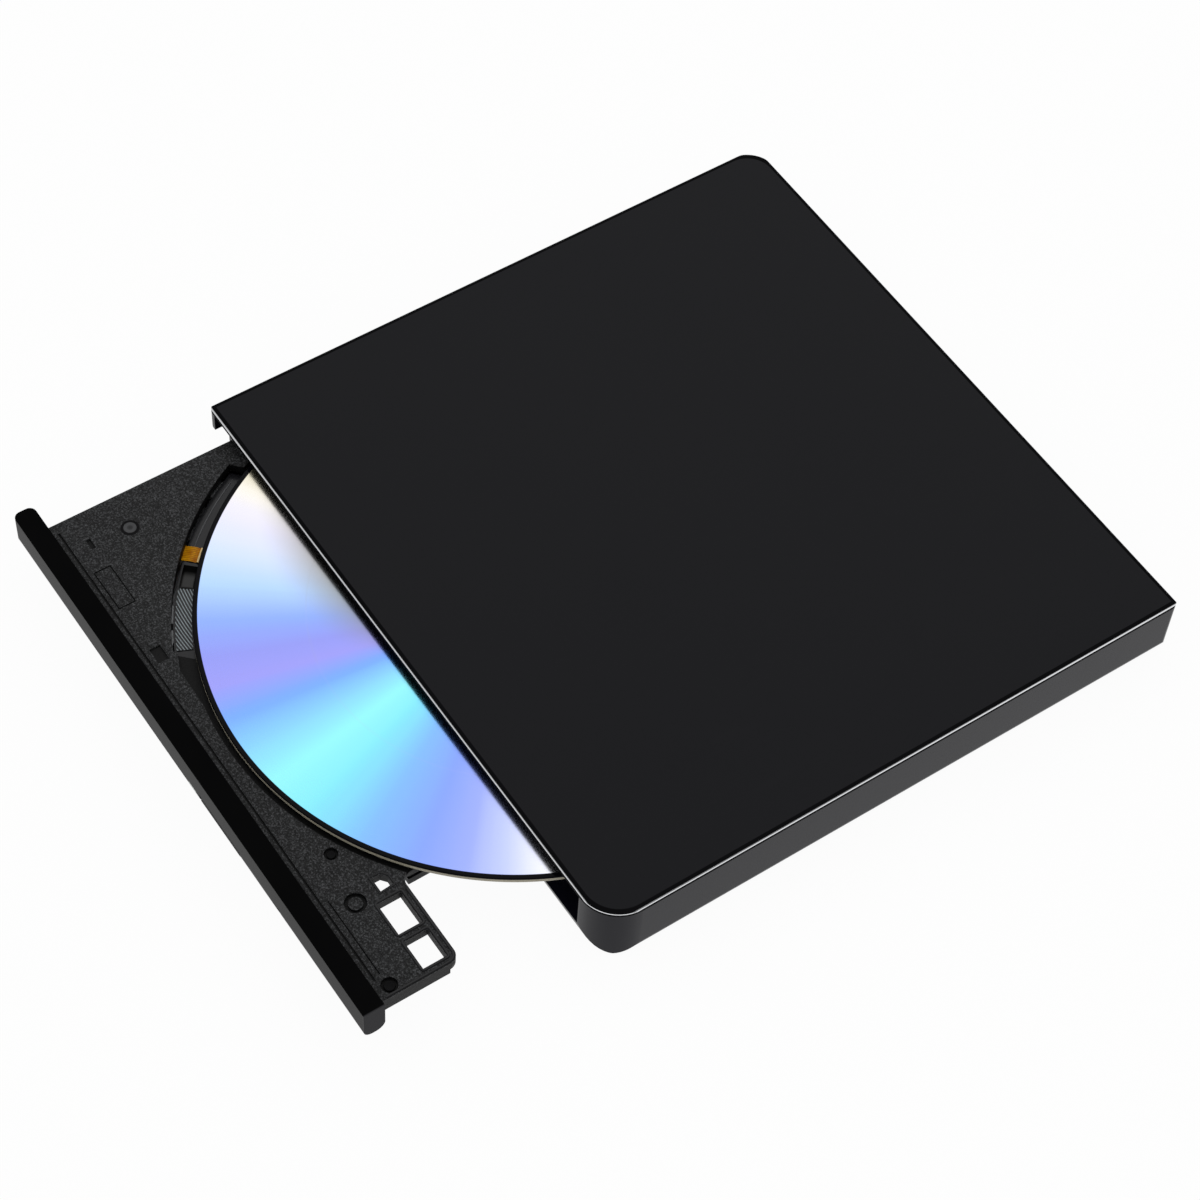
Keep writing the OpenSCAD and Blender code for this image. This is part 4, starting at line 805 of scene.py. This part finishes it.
class TrayOperator(bpy.types.Operator):
    """Finishes the tray and makes its studs and rims"""

    bl_idname = "drive.tray"
    bl_label = "Tray"

    def execute(self, context):
        look = context.scene.drive_tray
        show(["tray"], tray_matte(look.tray_colour))
        soften("tray", look.edge_round)
        self.studs()
        self.rims()
        return {"FINISHED"}

    def rims(self):
        """Low smooth rims round the bar's windows and along its edge: oval sections carried along paths."""
        bar_x, bar_y, bar_r = TRAY_HIGH[0], TRAY_LOW[1] + 16.65, 2
        away, inset, half, height = 0.35, 0.42, 0.28, 0.15
        window_y0, window_y1, window_r = -6.6, -1.7, 0.5
        grids = []
        for x0, x1 in ((-8.05, -1.7), (-17.0, -9.8)):
            loop = frame_path(bar_x + x0 - away, bar_x + x1 + away, bar_y + window_y0 - away,
                              bar_y + window_y1 + away, window_r)
            grids.append((carried(loop, half, height, TRAY_FACE, True), True, True))
        small_x, edge_x = 38.35, 41.5
        small = [(-2.2, -5.0), (1.6, -5.0), (1.35, -1.7), (-0.85, -1.7), (-2.15, -2.75)]
        small = np.array(small) + (small_x, bar_y)
        grids.append((carried(small, half * 0.8, height, TRAY_FACE, True), True, True))
        side_x, side_y, turn = bar_x - inset, bar_y - inset, bar_r + 0.1
        edge = np.concatenate([np.linspace((edge_x, side_y), (bar_x - turn, side_y), 12),
                               arc((bar_x - bar_r, bar_y - bar_r), bar_r - inset, 90, 0, 10),
                               np.linspace((side_x, bar_y - turn), (side_x, TRAY_LOW[1] + 1.6), 12)])
        grids.append((capped(carried(edge, half, height, TRAY_FACE, False)), False, True))
        rim = plain_plastic("rim_plastic", (0.006, 0.006, 0.007), 0.25, 0.3, 0.3)
        return piece("bar_rims", "tray", "tray_matte", rim, *grids)

    def studs(self):
        """Pin marks in two pockets, turned from a profile with a dished top, one flat mark with a ring round
        it, and two low lugs beside the bezel, oval sections carried from front to back."""
        floor = TRAY_FACE - 0.7
        bar_x, bezel_y = TRAY_HIGH[0], TRAY_LOW[1]
        lug_half, lug_height, steps = 0.24, 0.2, 16
        dish = [(0.0, 0.30), (0.55, 0.32), (0.75, 0.42), (0.86, 0.42), (0.95, 0.34), (1.0, 0.0), (0.0, 0.0)]
        grids = []
        for x, y, r in ((28.25, bezel_y + 8.6, 0.86), (bar_x - 2.2, bezel_y + 3.4, 1.1)):
            profile = [(radius * r, floor + height) for radius, height in dish]
            grids.append((turned(profile, (x, y), 40), False, True))
        button = [(0.0, 0.05), (0.5, 0.06), (0.8, 0.12), (1.2, 0.12), (1.32, 0.02), (1.8, 0.02),
                  (1.86, -0.05), (0.0, -0.05)]
        profile = [(radius, TRAY_FACE + height) for radius, height in button]
        grids.append((turned(profile, RING_MARK, 48), False, True))
        side = round_angles(14)[None]
        swell = np.sqrt(np.clip(np.sin(np.linspace(0, np.pi, steps)) * 3, 0.04, 1))[:, None]
        for x, y0, y1 in LUGS:
            y = np.linspace(y0, y1, steps)[:, None]
            grid = np.broadcast_arrays(x + lug_half * np.cos(side) * swell, y,
                                       TRAY_FACE + lug_height * np.sin(side) * swell)
            grids.append((capped(np.stack(grid, axis=-1)), False, True))
        return piece("tray_studs", "tray", "tray_matte", stud_plastic(), *grids)


class BezelOperator(bpy.types.Operator):
    """Finishes the bezel, its button and its light"""

    bl_idname = "drive.bezel"
    bl_label = "Bezel"

    def execute(self, context):
        show(["front_bezel"], bezel_gloss(context.scene.drive_tray.bezel_colour))
        # The button is near black with almost no gloss: partly its own black plastic, partly painted shade of
        # its recess in the bezel's front.
        show(["eject_button"], plain_plastic("button_plastic", (0.003, 0.003, 0.003), 0.45, 0.25, 0.03))
        soften("front_bezel", 0.00022, 3)
        soften("eject_button", 0.00015)
        show(["led_lens", "status_led"], led_glass())
        return {"FINISHED"}


class DiscOperator(bpy.types.Operator):
    """Makes the disc: a profile with a ring on top and a dent below, turned about the spindle's axis"""

    bl_idname = "drive.disc"
    bl_label = "Disc"

    def execute(self, context):
        look = context.scene.drive_disc
        hole, lip, rim, flat = 7.5, 0.15, 0.22, 58.6
        ring, dent = 0.1, 0.12
        z0, z1 = DISC_Z0, DISC_Z1
        outer = [*arc((DISC_R - rim, z1 - rim), rim, 90, 0, 6), *arc((DISC_R - rim, z0 + rim), rim, 0, -90, 6)]
        top = [(hole, z1 - lip), (hole + lip, z1), (16.3, z1), (16.5, z1 + ring), (17.3, z1 + ring),
               (17.5, z1), (18.5, z1), (22.3, z1), (30, z1), (40, z1), (50, z1), (flat, z1)]
        under = [(flat, z0), (40, z0), (22.3, z0), (17.6, z0), (17.4, z0 + dent), (16.8, z0 + dent),
                 (16.6, z0), (hole + lip, z0), (hole, z0 + lip)]
        grid = turned([*top, *outer, *under], (DISC_X, DISC_Y), look.segments)
        plate = piece("disc_plate", "spindle", "disc_mirror", disc_mirror(look.clear_ring, look.hub_clear),
                      (grid, True, True))
        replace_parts(plate, "disc")
        return {"FINISHED"}


class HubOperator(bpy.types.Operator):
    """Finishes the spindle's motor, its turntable and its jaws"""

    bl_idname = "drive.hub"
    bl_label = "Spindle"

    def execute(self, context):
        show(["turntable"], turned_steel("spindle_steel", (0.62, 0.63, 0.65), 0.22, 0.10))
        show(["turntable_pad"], plain_plastic("pad_rubber", (0.014, 0.014, 0.014), 0.7, 0.25, 0.2))
        show(CHUCK_JAWS, plain_plastic("jaw_plastic", (0.60, 0.61, 0.60), 0.35))
        show(["spindle_stator"], coil_copper())
        for name in ("turntable", *CHUCK_JAWS):
            soften(name, 0.00008)
        return {"FINISHED"}


class TraverseOperator(bpy.types.Operator):
    """Finishes the traverse and the pickup, and makes the cable, the ribbed strip and the ledge's trim"""

    bl_idname = "drive.traverse"
    bl_label = "Traverse and pickup"

    def execute(self, context):
        show(["traverse_frame"], frame_metal())
        show(["traverse_cover"], plain_plastic("cover_film", (0.0125, 0.0125, 0.0150), 0.22, 0.5, 0.3))
        show(["damper_grommets"], plain_plastic("grommet_rubber", (0.012, 0.012, 0.012), 0.7, 0.3, 0.2))
        show(["main_guide_shaft", "sub_guide_shaft", "lead_screw"],
             turned_steel("shaft_steel", (0.72, 0.73, 0.75), 0.12, 0.06))
        show(["sled_motor"], sheet_steel())
        show(["pickup_carriage"], frame_metal())
        show(["screw_follower"], plain_plastic("follower_plastic", (0.62, 0.58, 0.46), 0.45))
        show(["lens_holder"], plain_plastic("holder_plastic", (0.014, 0.014, 0.016), 0.5))
        show(["objective_lens"], lens_clear())
        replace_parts(self.ribbon(), "pickup_flex")
        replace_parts(self.ribbed_strip(), "damping_strip")
        self.ledge_rib()
        self.ledge_pad()
        return {"FINISHED"}

    def ledge_pad(self):
        """Smooth pad between cable and ribbed strip: a section with a crowned top carried along an arc."""
        middle, half, edge, crown, steps = 61.75, 1.5, 0.05, 0.18, 40
        angle = np.radians(np.linspace(*PAD_TURN, steps))[:, None]
        across = np.linspace(-1, 1, 24)[None]
        swell = np.clip(np.sin(np.linspace(0, np.pi, steps)) * 6, 0, 1)[:, None]
        top = LEDGE + edge + crown * (1 - across ** 4) * swell
        radius = middle + half * np.concatenate([across, across[:, ::-1]], axis=1)
        height = np.concatenate([top, np.full_like(top, LEDGE)], axis=1)
        grid = about_disc(radius, angle, height)
        return piece("ledge_pad", "tray", "black_plastic", pad_plastic(), (capped(grid), False, True))

    def ledge_rib(self):
        """Low rib along the dark cover's ledge: an oval section carried along an arc round the disc."""
        middle, half, rise, turn, steps = 62.4, 0.20, 0.16, (207, 223.2), 60
        angle = np.radians(np.linspace(*turn, steps))[:, None]
        side = round_angles(12)[None]
        swell = np.sqrt(np.clip(np.sin(np.linspace(0, np.pi, steps)) * 4, 0.05, 1))[:, None]
        grid = about_disc(middle + half * np.cos(side) * swell, angle, LEDGE + rise * np.sin(side) * swell)
        # Painted highlight: the rib's pale grey gives the bright line along the ledge.
        rib = plain_plastic("rib_plastic", (0.085, 0.086, 0.092), 0.25, 0.3, 0.4)
        return piece("ledge_rib", "tray", "black_plastic", rib, (capped(grid), False, True))

    def ribbon(self):
        """Flat cable: a rounded strip carried along the pickup's line, with a low arch and a fold where it
        shows. Both are bell curves of the length: height = arch exp(-u^2) + fold exp(-v^2)."""
        base = node_box("pickup_flex")[0][2]
        half, thick, seat, arch, fold = 1.75, 0.12, 0.02, 0.20, 0.34
        along = np.concatenate([np.linspace(59.7, 64.0, 60), np.linspace(64.5, 71.0, 12)])
        rise = arch * np.exp(-(((along - 62.2) / 0.9) ** 2)) + fold * np.exp(-(((along - 60.75) / 0.3) ** 2))
        side = round_angles(16)
        across = np.sign(np.cos(side)) * np.abs(np.cos(side)) ** 0.25 * half
        lift = (np.sign(np.sin(side)) * np.abs(np.sin(side)) ** 0.5 + 1) * thick / 2
        grid = np.zeros((len(along), len(side), 3))
        grid[..., 0] = DISC_X + along[:, None] * math.cos(TRAVEL) - across[None] * math.sin(TRAVEL)
        grid[..., 1] = DISC_Y + along[:, None] * math.sin(TRAVEL) + across[None] * math.cos(TRAVEL)
        grid[..., 2] = base + seat + rise[:, None] + lift[None]
        # The film's painted highlight starts at the fold's height.
        film = flex_orange(TRAVEL, base + fold)
        return piece("flex_ribbon", "tray", "flex_orange", film, (capped(grid), False, True))

    def ribbed_strip(self):
        """Curved plate with slanting ribs on top: height = base + rib * max(0, sine of the slanted length)."""
        low, high = node_box("damping_strip")
        rib, pitch, slant = 0.12, 0.56, math.radians(62)
        inner, outer, middle, turn = 60.2, 63.3, 62, (232.6, 245.6)
        angle = np.radians(np.linspace(*turn, 180))[:, None]
        radius = np.linspace(inner, outer, 56)[None]
        slope = angle * middle * math.cos(slant) + radius * math.sin(slant)
        top = high[2] - rib + rib * np.clip(np.sin(2 * np.pi * slope / pitch) * 1.4, 0, 1)
        top = np.broadcast_to(top, (angle.shape[0], radius.shape[1]))
        around = np.concatenate([radius, radius[:, ::-1]], axis=1)
        height = np.concatenate([top, np.full_like(top, low[2])], axis=1)
        grid = about_disc(around, angle, height)
        return piece("ribbed_strip", "tray", "strip_silver", strip_silver(high[2] - rib, high[2]),
                     (capped(grid), False, True))


class RailOperator(bpy.types.Operator):
    """Finishes the rails and their guides"""

    bl_idname = "drive.rails"
    bl_label = "Rails"

    def execute(self, context):
        show(["left_rail", "right_rail"], plain_plastic("rail_plastic", (0.022, 0.023, 0.025), 0.38))
        show(["left_rail_guide", "right_rail_guide"],
             plain_plastic("guide_plastic", (0.016, 0.016, 0.018), 0.45))
        for name in ("left_rail", "right_rail"):
            soften(name, 0.0001)
        return {"FINISHED"}


class BoardOperator(bpy.types.Operator):
    """Finishes the boards, sockets and cable"""

    bl_idname = "drive.boards"
    bl_label = "Boards and sockets"

    def execute(self, context):
        show(["main_board", "switch_board"], board_green())
        show(["board_chips"], plain_plastic("chip_resin", (0.014, 0.014, 0.015), 0.5, 0.12))
        show(["usb_socket", "eject_switch"], sheet_steel())
        show(["usb_tongue"], plain_plastic("tongue_plastic", (0.012, 0.012, 0.013), 0.4))
        show(["flat_cable_socket"], plain_plastic("socket_plastic", (0.66, 0.64, 0.56), 0.4))
        show(["flat_cable"], flex_orange(0.0, COVER_TOP))
        soften("usb_socket", 0.0001)
        self.contacts()
        return {"FINISHED"}

    def contacts(self):
        """Five springs on the tongue: an oval section carried along it, with a low hump near its end that is a
        bell curve of the length."""
        low, high = node_box("usb_tongue")
        middle, pitch, half, thick = (low[0] + high[0]) / 2, 0.8, 0.2, 0.06
        run = np.linspace(low[1] + 0.3, high[1] - 0.35, 30)
        hump = 0.10 * np.exp(-(((run - high[1] + 1.0) / 0.5) ** 2))
        side = round_angles(10)
        grids = []
        for k in range(-2, 3):
            grid = np.zeros((len(run), len(side), 3))
            grid[..., 0] = middle + k * pitch + half * np.cos(side)
            grid[..., 1] = run[:, None]
            grid[..., 2] = low[2] - hump[:, None] + thick * np.sin(side)
            grids.append((capped(grid), False, True))
        gold = turned_steel("contact_gold", (0.78, 0.55, 0.22), 0.2, 0.05)
        return piece("port_contacts", "case", "shaft_steel", gold, *grids)


class MetalOperator(bpy.types.Operator):
    """Finishes the sheet metal, the screws and the latch"""

    bl_idname = "drive.metal"
    bl_label = "Sheet metal and latch"

    def execute(self, context):
        show(["base_pan", "top_shield", "tray_plate"], sheet_steel())
        show(["pan_screws", "board_screws", "tray_screws", "damper_screws"],
             turned_steel("screw_steel", (0.50, 0.51, 0.52), 0.28, 0.08))
        show(["latch_pin", "solenoid_plunger"], turned_steel("pin_steel", (0.66, 0.67, 0.68), 0.2, 0.06))
        show(["latch_solenoid"], coil_copper())
        show(["latch_lever"], plain_plastic("lever_plastic", (0.64, 0.61, 0.52), 0.42))
        return {"FINISHED"}


class DrivePanel(bpy.types.Panel):
    """Lists the steps and their values"""

    bl_idname = "VIEW3D_PT_drive"
    bl_label = "Disc drive"
    bl_space_type = "VIEW_3D"
    bl_region_type = "UI"
    bl_category = "Drive"

    def draw(self, context):
        for step in STEPS:
            self.layout.operator(step.bl_idname)
        for look in LOOKS:
            box = self.layout.box()
            group = getattr(context.scene, look)
            for key in group.bl_rna.properties.keys():
                if key not in ("rna_type", "name"):
                    box.prop(group, key)


LOOKS = {"drive_case": CaseLook, "drive_tray": TrayLook, "drive_disc": DiscLook, "drive_stage": StageLook}
STEPS = [StageOperator, CaseOperator, TrayOperator, BezelOperator, DiscOperator, HubOperator,
         TraverseOperator, RailOperator, BoardOperator, MetalOperator]
CLASSES = [*LOOKS.values(), *STEPS, DrivePanel]


def register():
    for cls in CLASSES:
        bpy.utils.register_class(cls)
    for name, group in LOOKS.items():
        setattr(bpy.types.Scene, name, PointerProperty(type=group))


def unregister():
    for name in LOOKS:
        delattr(bpy.types.Scene, name)
    for cls in reversed(CLASSES):
        bpy.utils.unregister_class(cls)


def main():
    """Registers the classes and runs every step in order."""
    register()
    for step in STEPS:
        group, name = step.bl_idname.split(".")
        getattr(getattr(bpy.ops, group), name)()


if __name__ == "__main__":
    main()
